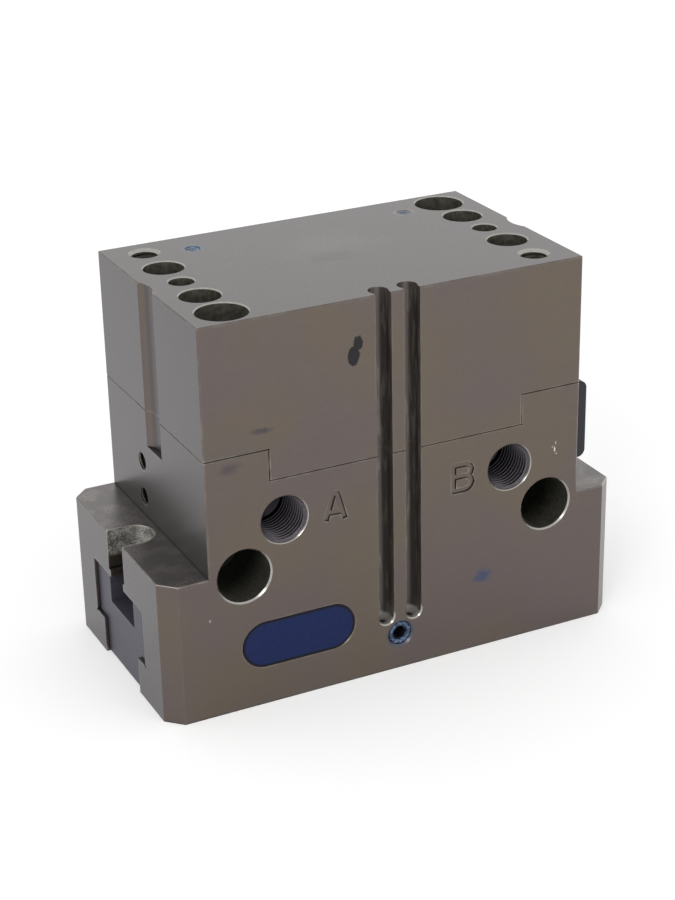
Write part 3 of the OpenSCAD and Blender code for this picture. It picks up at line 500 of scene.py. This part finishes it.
def makePlain(look):
    material, tree = newMaterial(look["name"])
    place = addNode(tree, "TexCoord", {}).outputs["Object"]
    marks = addNode(tree, "TexNoise", {"Scale": per(look["grainMm"]), "Detail": 4, "Vector": place})
    tone = mottled(tree, toLinear(look["colour"]), marks, (0.3, 0.7), (0.86, 1.12))
    bump = addNode(tree, "Bump", {"Strength": look.get("relief", 0.2), "Distance": 0.02 * mm, "Height": marks})
    roughness = addNode(tree, "MapRange", {
        **smooth, "Value": marks, "From Min": 0.3, "From Max": 0.7,
        "To Min": look["roughness"] - 0.05, "To Max": look["roughness"] + 0.05})
    shader = addNode(tree, "BsdfPrincipled", {
        "Metallic": look.get("metallic", 0.0), "Specular IOR Level": look.get("shine", 0.5),
        "Base Color": tone, "Normal": bump, "Roughness": roughness})
    addNode(tree, "OutputMaterial", {"Surface": shader})
    return material


for slot, finish in plainFinishes.items():
    materials[slot] = makePlain(finish)
borderMaterial = makePlain(borderFinish)

# Dried anaerobic thread sealant: a blue crust, dark where it is thin, wiped grey off one plug

sealantFinish = {
    "thin": "#22385a",
    "thick": "#7292ba",
    "lumpMm": 0.7,
    "wiped": ("#615f5e", 0.85),  # colour and strength
    "wipedBeyond": (10, 11),  # mm along x
    "low": ("#1d2737", 0.5),  # round the purge screw it is darker
    "lowBelow": (21, 20),  # mm along z
    "slots": (
        # (centre, radius, stretch, colour) of the slots under the sealant, dark as painted shade in them, and of the
        # blue left round one, in mm
        ((-24.0, 17.1, 80), 1.1, (1, 2.6, 1), "#111b28"),
        ((23.5, 17.0, 80), 1.15, (1, 1.0, 1), "#4c6788"),
        ((23.4, 17.0, 80), 0.85, (1, 1.15, 1), "#0f1724"),
    ),
}


def makeSealantMaterial(look):
    material, tree = newMaterial("threadSealant")
    place = addNode(tree, "TexCoord", {}).outputs["Object"]
    axis = addNode(tree, "SeparateXYZ", {0: place})
    lumps = addNode(tree, "TexNoise", {"Scale": per(look["lumpMm"]), "Detail": 4, "Roughness": 0.65, "Vector": place})
    crust = addNode(tree, "MapRange", {**smooth, "Value": lumps, "From Min": 0.42, "From Max": 0.64})
    tone = addNode(tree, "Mix", {"data_type": "RGBA", 0: crust, 6: toLinear(look["thin"]), 7: toLinear(look["thick"])})
    tone = lay(tree, tone, within(tree, [(axis.outputs["X"], *look["wipedBeyond"])]), *look["wiped"])
    tone = lay(tree, tone, within(tree, [(axis.outputs["Z"], *look["lowBelow"])]), *look["low"])
    # Dark spots of painted shade where the plugs' slots are, and a blue disc
    for centre, radius, stretch, colour in look["slots"]:
        tone = lay(tree, tone, spot(tree, place, centre, radius, 0.35, 0.3, stretch), colour, 0.9)
    bump = addNode(tree, "Bump", {"Strength": 0.5, "Distance": 0.1 * mm, "Height": lumps})
    shader = addNode(tree, "BsdfPrincipled", {
        "Metallic": 0.0, "Roughness": 0.38, "Base Color": tone, "Normal": bump})
    addNode(tree, "OutputMaterial", {"Surface": shader})
    return material


materials["sealed_plug"] = makeSealantMaterial(sealantFinish)
print("materials made for", len(materials), "slots")

# CAD nodes take their materials

slotOf = {part["node"]: part["material_slot"] for part in frame["record"].get("subparts", [])}
for nodeName, nodeObject in nodes.items():
    nodeObject.data.materials.clear()
    nodeObject.data.materials.append(materials[slotOf[nodeName]])
print("CAD nodes painted")

# Pieces: helpers

blockFaces = {"front": -25, "half": 25, "top": 80}  # outer faces of the block, in mm
facingFront = Matrix.Rotation(math.radians(90), 4, "X")  # turns a shape made in XY to stand in the front face


def newPiece(name, bm, body, finishes, replaced=(), sharpAngle=30):
    mesh = bpy.data.meshes.new(name)
    bm.to_mesh(mesh)
    bm.free()
    return finishPiece(name, mesh, body, finishes, replaced, sharpAngle)


def finishPiece(name, mesh, body, finishes, replaced=(), sharpAngle=20):
    if "custom_normal" in mesh.attributes:
        mesh.attributes.remove(mesh.attributes["custom_normal"])
    if len(mesh.materials):  # clearing also resets the faces' material numbers, which new pieces already have
        mesh.materials.clear()
    for finish in finishes:
        mesh.materials.append(finish)
    mesh.shade_smooth()
    mesh.set_sharp_from_angle(angle=math.radians(sharpAngle))
    piece = bpy.data.objects.new(name, mesh)
    scene.collection.objects.link(piece)
    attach(piece, body)
    if replaced:
        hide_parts(*replaced)
    return piece


def solidOf(node):
    # A CAD node's mesh with its loose triangles joined
    bm = bmesh.new()
    bm.from_mesh(nodes[node].data)
    bmesh.ops.remove_doubles(bm, verts=bm.verts, dist=0.0004 * mm)
    return bm


def addCutter(cutters, part, turn):
    # Adds a closed solid to the list of cutters, at the place that the matrix turn gives
    part.transform(turn)
    cutters.append(part)


def holeTurn(mouth, axis):
    # The place of a hole: its local -Z runs into the material, mouth in mm
    return Matrix.Translation(Vector(mouth) * mm) @ Vector(axis).to_track_quat("Z", "Y").to_matrix().to_4x4()


def addThread(cutters, mouth, axis, thread):
    # Helical groove of an inner thread, cut outwards from the core of the hole
    bm = bmesh.new()
    sides = 28
    pitch = thread["pitch"] * mm
    steps = int(thread["length"] * mm / pitch * sides)
    inner, outer = (thread["core"] / 2 - 0.15) * mm, thread["major"] / 2 * mm
    wide, narrow = 0.42 * pitch, 0.07 * pitch  # half widths of the groove at the core and at its bottom
    profile = [(inner, -wide), (outer, -narrow), (outer, narrow), (inner, wide)]
    ring = [bm.verts.new((x, 0, z)) for x, z in profile]
    edges = [bm.edges.new((ring[i], ring[(i + 1) % 4])) for i in range(4)]
    bmesh.ops.spin(bm, geom=ring + edges, cent=(0, 0, 0), axis=(0, 0, 1), angle=math.tau * steps / sides,
                   steps=steps, dvec=(0, 0, -pitch / sides))
    bmesh.ops.holes_fill(bm, edges=[edge for edge in bm.edges if edge.is_boundary])
    bmesh.ops.recalc_face_normals(bm, faces=bm.faces)
    bmesh.ops.translate(bm, verts=bm.verts, vec=(0, 0, thread["start"] * mm))
    addCutter(cutters, bm, holeTurn(mouth, axis))


def addCone(cutters, mouth, axis, outer, inner, depth):
    # Countersink: outer and inner diameters and depth in mm
    bm = bmesh.new()
    lift = 0.1
    slope = (outer - inner) / 2 / depth
    bmesh.ops.create_cone(bm, cap_ends=True, segments=48, radius1=inner / 2 * mm,
                          radius2=(outer / 2 + lift * slope) * mm, depth=(depth + lift) * mm)
    bmesh.ops.translate(bm, verts=bm.verts, vec=(0, 0, (lift - depth) / 2 * mm))
    addCutter(cutters, bm, holeTurn(mouth, axis))


def carve(bm, cutters):
    # Cuts a solid with each of the cutters and returns the mesh
    tools = bpy.data.collections.new("tools")
    scene.collection.children.link(tools)
    solids = []
    for source in (bm, *cutters):
        mesh = bpy.data.meshes.new("solid")
        source.to_mesh(mesh)
        source.free()
        solids.append(bpy.data.objects.new("solid", mesh))
        (tools if len(solids) > 1 else scene.collection).objects.link(solids[-1])
    cut = solids[0].modifiers.new("cut", "BOOLEAN")
    cut.operation = "DIFFERENCE"
    cut.solver = "MANIFOLD"
    cut.operand_type = "COLLECTION"
    cut.collection = tools
    result = bpy.data.meshes.new_from_object(solids[0].evaluated_get(bpy.context.evaluated_depsgraph_get()))
    for solid in solids:
        mesh = solid.data
        bpy.data.objects.remove(solid)
        bpy.data.meshes.remove(mesh)
    bpy.data.collections.remove(tools)
    tidy = bmesh.new()
    tidy.from_mesh(result)
    bmesh.ops.dissolve_degenerate(tidy, edges=tidy.edges, dist=0.002 * mm)
    bmesh.ops.dissolve_limit(tidy, verts=tidy.verts, edges=tidy.edges, angle_limit=math.radians(0.4))
    bmesh.ops.triangulate(tidy, faces=[face for face in tidy.faces if len(face.verts) > 4])
    tidy.to_mesh(result)
    tidy.free()
    return result


def markBore(mesh, mouth, axis, radius, top, index):
    # Gives the faces inside a round hole, more than top below its mouth, the material of that index
    # and leaves the outer faces of the block that it comes out at
    for face in mesh.polygons:
        away = Vector(face.center) / mm - Vector(mouth)
        along = away.dot(Vector(axis))
        outside = (abs(face.center.y) > (blockFaces["half"] - 0.01) * mm
                   or face.center.z > (blockFaces["top"] - 0.01) * mm)
        if along < -top and not outside and (away - along * Vector(axis)).length < radius:
            face.material_index = index


def markRims(mesh, rims, index):
    # Gives the sloping faces round each hole's mouth the material of that index
    for face in mesh.polygons:
        for mouth, axis, outer, inner, depth in rims:
            away = Vector(face.center) / mm - Vector(mouth)
            along = away.dot(Vector(axis))
            across = (away - along * Vector(axis)).length
            lean = abs(face.normal.dot(Vector(axis)))
            if inner / 2 - 0.1 < across < outer / 2 + 0.1 and -depth - 0.1 < along < 0.05 and 0.3 < lean < 0.92:
                face.material_index = index


# Lower housing: port threads, port letters, tapped ends

lowerDetail = {
    "port": {"core": 8.6, "major": 9.6, "pitch": 0.907, "length": 10.5, "start": 0.4},
    "portPlace": (24.6, -25, 38.7),
    "endThread": {"core": 3.4, "major": 4.0, "pitch": 0.7, "length": 4.6, "start": 0.3},
    "endPlace": (40.5, 7.1, (33.8, 41.5)),
    "portRim": (10.24, 9.96, 0.14),  # outer and inner diameter and depth
    "portInside": (5.2, 0.16),  # radius and depth from which it is thread
    "boreRim": (11.6, 11.0, 0.3),
    "borePlace": (33.2, 28.7),
    "boreInside": (5.6, 0.35),
    "strokeTop": 1.08,
    "strokeFloor": 0.94,
    "strokeDepth": 0.3,
    # strokes of the port letters: points (x, z) on the front face
    "letters": (
        ((-15.85, 36.2), (-14.1, 41.6), (-13.4, 41.6), (-11.8, 36.0)),
        ((-15.0, 37.7), (-12.6, 37.6)),
        ((12.05, 39.05), (12.05, 41.5), (14.9, 41.45), (15.7, 41.05), (16.1, 40.2), (15.85, 39.45), (15.2, 39.0),
         (12.05, 39.05), (12.05, 36.05), (15.0, 36.1), (15.75, 36.55), (16.2, 37.4), (15.95, 38.3), (15.2, 39.0)),
    ),
    "grooveEnd": (3.05, 12.05, 3.3),  # x, z and width of the sensor grooves' round ends
    "grooveRim": (0.5, 0.3),  # how much wider the rim is there, and its depth
    "plate": (-22.15, 13.0, 24.1, 9.8),  # x, z, length and height of its recess
    "plateRim": (0.44, -0.12, -0.02),  # how much larger the chamfer is, its depth, and its height at the floor
}


def addStroke(cutters, start, end, first, last, detail):
    # A tapered bar sunk into the front face, round where it meets the next one
    lift, depth = 0.1, detail["strokeDepth"]
    top = detail["strokeTop"] / 2
    floor = detail["strokeFloor"] / 2
    ends = [Vector((x, z, 0)) for x, z in (start, end)]
    run = ends[1] - ends[0]
    front = Matrix.Translation((0, blockFaces["front"] * mm, 0)) @ facingFront
    bar = bmesh.new()
    bmesh.ops.create_cube(bar, size=mm)
    bmesh.ops.scale(bar, verts=bar.verts, vec=(run.length, 2 * top, depth + lift))
    bmesh.ops.scale(bar, verts=[v for v in bar.verts if v.co.z < 0], vec=(1, floor / top, 1))
    middle = Vector((*((ends[0] + ends[1]) / 2).xy, (lift - depth) / 2)) * mm
    addCutter(cutters, bar, front @ Matrix.Translation(middle) @ Matrix.Rotation(math.atan2(run.y, run.x), 4, "Z"))
    # a letter's free ends stay square
    for point in ends[:1] if last else ends[1:] if first else ends:
        cap = bmesh.new()
        bmesh.ops.create_cone(cap, cap_ends=True, segments=20, radius1=floor * mm, radius2=top * mm,
                              depth=(depth + lift) * mm)
        addCutter(cutters, cap, front @ Matrix.Translation(Vector((point.x, point.y, (lift - depth) / 2)) * mm))


def makeStadium(length, height, low, high, heightLow=None):
    # Long rounded plate in the XY plane between z = low and high, in mm; heightLow is its height at the low side
    side = bmesh.new()
    sides = 64
    bmesh.ops.create_cone(side, cap_ends=True, segments=sides, radius1=(heightLow or height) / 2 * mm,
                          radius2=height / 2 * mm, depth=(high - low) * mm)
    bmesh.ops.rotate(side, verts=side.verts, matrix=Matrix.Rotation(math.pi / sides, 3, "Z"))
    for vert in side.verts:
        vert.co.x += math.copysign((length - height) / 2 * mm, vert.co.x)
        vert.co.z += (low + high) / 2 * mm
    return side


def makeLowerHousing(detail):
    cutters = []
    rims = []
    forward = (0, -1, 0)
    x, y, z = detail["portPlace"]
    boreX, boreZ = detail["borePlace"]
    for side in (-1, 1):
        addThread(cutters, (side * x, y, z), forward, detail["port"])
        addCone(cutters, (side * x, y, z), forward, *detail["portRim"])
        rims.append(((side * x, y, z), forward, *detail["portRim"]))
        rims.append(((side * boreX, y, boreZ), forward, *detail["boreRim"]))
    endX, endY, levels = detail["endPlace"]
    for side in (-1, 1):
        for level in levels:
            if side == 1 and level == levels[1]:
                continue  # the bracket's screw sits in this one
            addThread(cutters, (side * endX, -side * endY, level), (side, 0, 0), detail["endThread"])
    for letter in detail["letters"]:
        closed = letter[0] in letter[1:]
        last = len(letter) - 2
        for index in range(last + 1):
            ends = letter[index:index + 2]
            addStroke(cutters, *ends, index == 0 and not closed, index == last and not closed, detail)
    grooveX, grooveZ, width = detail["grooveEnd"]
    wider, depth = detail["grooveRim"]
    for side in (-1, 1):
        addCone(cutters, (side * grooveX, y, grooveZ), forward, width + wider, width - 0.1, depth)
        rims.append(((side * grooveX, y, grooveZ), forward, width + wider, width, depth))
    plateX, plateZ, plateLength, plateHeight = detail["plate"]
    larger, floor, lower = detail["plateRim"]
    rim = makeStadium(plateLength + larger, plateHeight + larger, floor, 0.1, plateHeight + lower)
    addCutter(cutters, rim, Matrix.Translation(Vector((plateX, y, plateZ)) * mm) @ facingFront)
    mesh = carve(solidOf("gripper_housing"), cutters)
    finishes = (materials["anodised_aluminium"], rimMaterial, threadMaterial, boreMaterial)
    finishPiece("lowerHousing", mesh, "housing", finishes, ("gripper_housing",))
    for side in (-1, 1):
        markBore(mesh, (side * x, y, z), forward, *detail["portInside"], 2)
        markBore(mesh, (side * boreX, y, boreZ), forward, *detail["boreInside"], 3)
    markRims(mesh, rims, 1)


makeLowerHousing(lowerDetail)
print("lower housing threaded and lettered")

# Upper housing: mounting threads

upperDetail = {
    "thread": {"core": 5.2, "major": 6.0, "pitch": 1.0, "length": 12.2, "start": -0.52},
    "threadPlace": (33, -19, 80),
    "threadRim": (6.4, 5.2, 0.6),  # outer and inner diameter and depth
    "rimWider": 0.46,
    "rimDepth": 0.23,
    "rims": (
        # (x, y, diameter): holes of the top face, repeated by half a turn
        (-33, -19, 10), (-33, -9, 8), (-33, 0, 5), (-33, 9, 8),
    ),
}


def makeUpperHousing(detail):
    cutters = []
    rims = []
    upwards = (0, 0, 1)
    x, y, z = detail["threadPlace"]
    for side in (-1, 1):
        mouth = (side * x, side * y, z)
        addThread(cutters, mouth, upwards, detail["thread"])
        rims.append((mouth, upwards, *detail["threadRim"]))
        for rimX, rimY, wide in detail["rims"]:
            rim = ((side * rimX, side * rimY, z), upwards, wide + detail["rimWider"], wide, detail["rimDepth"])
            addCone(cutters, *rim)
            rims.append(rim)
    mesh = carve(solidOf("spring_housing"), cutters)
    finishes = (materials["anodised_aluminium"], rimMaterial, boreMaterial)
    finishPiece("upperHousing", mesh, "housing", finishes, ("spring_housing",))
    for mouth, axis, outer, inner, depth in rims:
        markBore(mesh, mouth, axis, inner / 2 + 0.5, depth, 2)
    markRims(mesh, rims, 1)


makeUpperHousing(upperDetail)
print("upper housing threaded")

# Base jaws: finger threads

jawDetail = {
    "thread": {"core": 5.2, "major": 6.0, "pitch": 1.0, "length": 8.0, "start": 0.2},
    "places": (43.0, 27.0),
    "floor": 2.2,
}


def makeJaw(side, name, node, body, detail):
    cutters = []
    for x in detail["places"]:
        addThread(cutters, (side * x, 0, detail["floor"]), (0, 0, -1), detail["thread"])
    mesh = carve(solidOf(node), cutters)
    finishPiece(name, mesh, body, (materials["hardened_steel"],), (node,))


makeJaw(-1, "jawLeft", "base_jaw_left", "jaw_left", jawDetail)
makeJaw(1, "jawRight", "base_jaw_right", "jaw_right", jawDetail)
print("jaws threaded")

# Blank plate

plateDetail = {"place": (-22.15, -25, 13.0), "length": 23.9, "height": 9.6, "sunk": 0.1, "back": 0.28,
               "border": 0.4, "edge": 0.05}


def makePlate(detail):
    bm = makeStadium(detail["length"], detail["height"], -detail["back"], -detail["sunk"])
    face = max(bm.faces, key=lambda f: f.calc_center_median().z)
    bmesh.ops.bevel(bm, geom=list(face.edges), offset=detail["edge"] * mm, segments=2, profile=0.5,
                    affect="EDGES", material=-1)
    face = max((f for f in bm.faces if len(f.verts) > 20), key=lambda f: f.calc_center_median().z)
    bmesh.ops.inset_region(bm, faces=[face], thickness=detail["border"] * mm)
    for part in bm.faces:
        part.material_index = 1
    face.material_index = 0
    bm.transform(Matrix.Translation(Vector(detail["place"]) * mm) @ facingFront)
    finishes = (materials["blue_plate"], borderMaterial)
    newPiece("blankPlate", bm, "housing", finishes, ("name_plate",))


makePlate(plateDetail)
print("plate made")

# Springs

springDetail = {
    "springOuter": {"node": "spring_outer", "mean": 27.2, "wire": 2.4, "turns": 5.0},
    "springInner": {"node": "spring_inner", "mean": 17.4, "wire": 1.8, "turns": 6.5},
}


def makeSpring(name, detail):
    low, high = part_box(detail["node"])
    wire = detail["wire"] * mm
    dead = wire * 1.06  # rise of a closed end coil
    travel = high[2] - low[2] - wire
    sides = 28
    bm = bmesh.new()
    # a hair thinner than the CAD wire
    section = bmesh.ops.create_circle(bm, segments=12, radius=wire / 2 * 0.995, matrix=facingFront)["verts"]
    bmesh.ops.translate(bm, verts=section, vec=(detail["mean"] / 2 * mm, 0, low[2] + wire / 2))
    geom = list(section) + list({edge for vert in section for edge in vert.link_edges})
    stretches = ((1, dead), (detail["turns"] - 2, travel - 2 * dead), (1, dead))
    for turns, rise in stretches:
        steps = round(turns * sides)
        geom = bmesh.ops.spin(bm, geom=geom, cent=(0, 0, 0), axis=(0, 0, 1), angle=math.tau * turns, steps=steps,
                              dvec=(0, 0, rise / steps))["geom_last"]
    bmesh.ops.remove_doubles(bm, verts=bm.verts, dist=0.001 * mm)
    bmesh.ops.holes_fill(bm, edges=[edge for edge in bm.edges if edge.is_boundary])
    bmesh.ops.recalc_face_normals(bm, faces=bm.faces)
    piece = newPiece(name, bm, "housing", (materials["spring_wire"],), (detail["node"],), 50)
    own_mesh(piece)


for springName, spring in springDetail.items():
    makeSpring(springName, spring)
print("springs wound")

# Sealant over the plugs and round the purge screw

sealantDetail = {
    "plugs": ((-23.6, 17, 1.5), (23.6, 17, 2.1)),  # x, y and radius
    "level": 79.82,
    "rise": 0.13,
    "purge": (0, -25, 7.6),
    "sunk": 0.78,
    "ring": 2.0,
    "bead": 0.5,
    "lobe": (1.1, 0.16),  # size of the lobes of a plug's outline, and how far they reach as a share of its radius
    "plugCrust": (0.5, 0.05),  # size and height of the lumps
    "beadCrust": (0.45, 0.16),
}


def roughen(bm, sizeMm, heightMm, seed):
    # Lumps of that size and height; each seed gives other lumps, the same ones in every run
    for vert in bm.verts:
        vert.co += vert.normal * noise.noise(vert.co / (sizeMm * mm) + Vector((seed, 0, 0))) * heightMm * mm


def makeSealant(detail):
    for index, (x, y, radius) in enumerate(detail["plugs"]):
        bm = bmesh.new()
        bmesh.ops.create_uvsphere(bm, u_segments=40, v_segments=20, radius=mm)
        bmesh.ops.scale(bm, verts=bm.verts, vec=(radius, radius * 0.9, detail["rise"]))
        bm.normal_update()
        lobeMm, reach = detail["lobe"]
        for vert in bm.verts:
            flat = Vector((vert.co.x, vert.co.y, 0))
            lobe = 1 + reach * noise.noise(flat / (lobeMm * mm) + Vector((index * 7.3, 0, 0)))
            vert.co.x *= lobe
            vert.co.y *= lobe
        roughen(bm, *detail["plugCrust"], index)
        bmesh.ops.translate(bm, verts=bm.verts, vec=(x * mm, y * mm, detail["level"] * mm))
        newPiece("plugSealant" + str(index + 1), bm, "housing", (materials["sealed_plug"],), (), 80)
    bm = bmesh.new()
    bead = bmesh.ops.create_circle(bm, segments=14, radius=detail["bead"] * mm, matrix=facingFront)["verts"]
    bmesh.ops.translate(bm, verts=bead, vec=(detail["ring"] * mm, 0, 0))
    geom = list(bead) + list({edge for vert in bead for edge in vert.link_edges})
    bmesh.ops.spin(bm, geom=geom, cent=(0, 0, 0), axis=(0, 0, 1), angle=math.tau, steps=64, use_merge=True)
    bmesh.ops.remove_doubles(bm, verts=bm.verts, dist=0.001 * mm)
    bmesh.ops.recalc_face_normals(bm, faces=bm.faces)
    bm.normal_update()
    roughen(bm, *detail["beadCrust"], 3)
    px, py, pz = detail["purge"]
    bm.transform(Matrix.Translation(Vector((px, py + detail["sunk"], pz)) * mm) @ facingFront)
    newPiece("purgeSealant", bm, "housing", (materials["sealed_plug"],), (), 80)


makeSealant(sealantDetail)
print("sealant placed")

# Floor and light

floorSetup = {"size": 6.0, "colour": "#e6e6e6", "glow": 0.3, "mirrored": 0.18}


def makeFloor(setup):
    bm = bmesh.new()
    bmesh.ops.create_grid(bm, x_segments=1, y_segments=1, size=setup["size"] / 2)
    bmesh.ops.translate(bm, verts=bm.verts, vec=(0, 0, -0.02 * mm))  # just clear of the object
    mesh = bpy.data.meshes.new("floor")
    bm.to_mesh(mesh)
    bm.free()
    floor = bpy.data.objects.new("floor", mesh)
    scene.collection.objects.link(floor)
    material, tree = newMaterial("paleFloor")
    path = addNode(tree, "LightPath", {})
    seen = addNode(tree, "Math", {"operation": "MULTIPLY", 0: path.outputs["Is Camera Ray"], 1: setup["glow"]})
    reflected = addNode(tree, "Math", {
        "operation": "MAXIMUM", 0: path.outputs["Is Glossy Ray"], 1: path.outputs["Is Transmission Ray"]})
    mirrored = addNode(tree, "Math", {"operation": "MULTIPLY", 0: reflected, 1: setup["mirrored"]})
    glow = addNode(tree, "Math", {"operation": "MAXIMUM", 0: seen, 1: mirrored})
    shader = addNode(tree, "BsdfPrincipled", {
        "Base Color": toLinear(setup["colour"]), "Roughness": 0.9, "Specular IOR Level": 0.0,
        "Emission Color": (1, 1, 1, 1), "Emission Strength": glow})
    addNode(tree, "OutputMaterial", {"Surface": shader})
    mesh.materials.append(material)


makeFloor(floorSetup)

lamps = {
    "key": {"place": (-0.55, -0.53, 0.6), "aim": (0, 0, 0.04), "size": (0.28, 0.28), "power": 1.8},
    "rear": {"place": (0.42, 0.86, 0.5), "aim": (0, 0, 0.06), "size": (0.8, 0.6), "power": 0.2},
    "front": {"place": (0.36, -0.9, 0.22), "aim": (0, 0, 0.04), "size": (1.0, 0.44), "power": 1.42},
}


def makeLamp(name, setup):
    data = bpy.data.lights.new(name, "AREA")
    data.shape = "RECTANGLE"
    data.size, data.size_y = setup["size"]
    data.energy = setup["power"]
    lamp = bpy.data.objects.new(name, data)
    lamp.location = setup["place"]
    lamp.rotation_mode = "QUATERNION"
    lamp.rotation_quaternion = (Vector(setup["aim"]) - Vector(setup["place"])).to_track_quat("-Z", "Y")
    scene.collection.objects.link(lamp)


for lampName, lampSetup in lamps.items():
    makeLamp(lampName, lampSetup)

worldLook = {"light": 0.86, "backdrop": 1.0}


def makeWorld(look):
    world = bpy.data.worlds.new("studio")
    world.use_nodes = True
    tree = world.node_tree
    tree.nodes.clear()
    path = addNode(tree, "LightPath", {})
    isSeen = addNode(tree, "Math", {
        "operation": "MAXIMUM", 0: path.outputs["Is Camera Ray"], 1: path.outputs["Is Transmission Ray"]})
    strength = addNode(tree, "MapRange", {"To Min": look["light"], "To Max": look["backdrop"], "Value": isSeen})
    sky = addNode(tree, "Background", {"Color": (1, 1, 1, 1), "Strength": strength})
    addNode(tree, "OutputWorld", {"Surface": sky})
    scene.world = world


makeWorld(worldLook)
scene.view_settings.view_transform = "Standard"
print("floor and light made")

# End

print("end of scene")
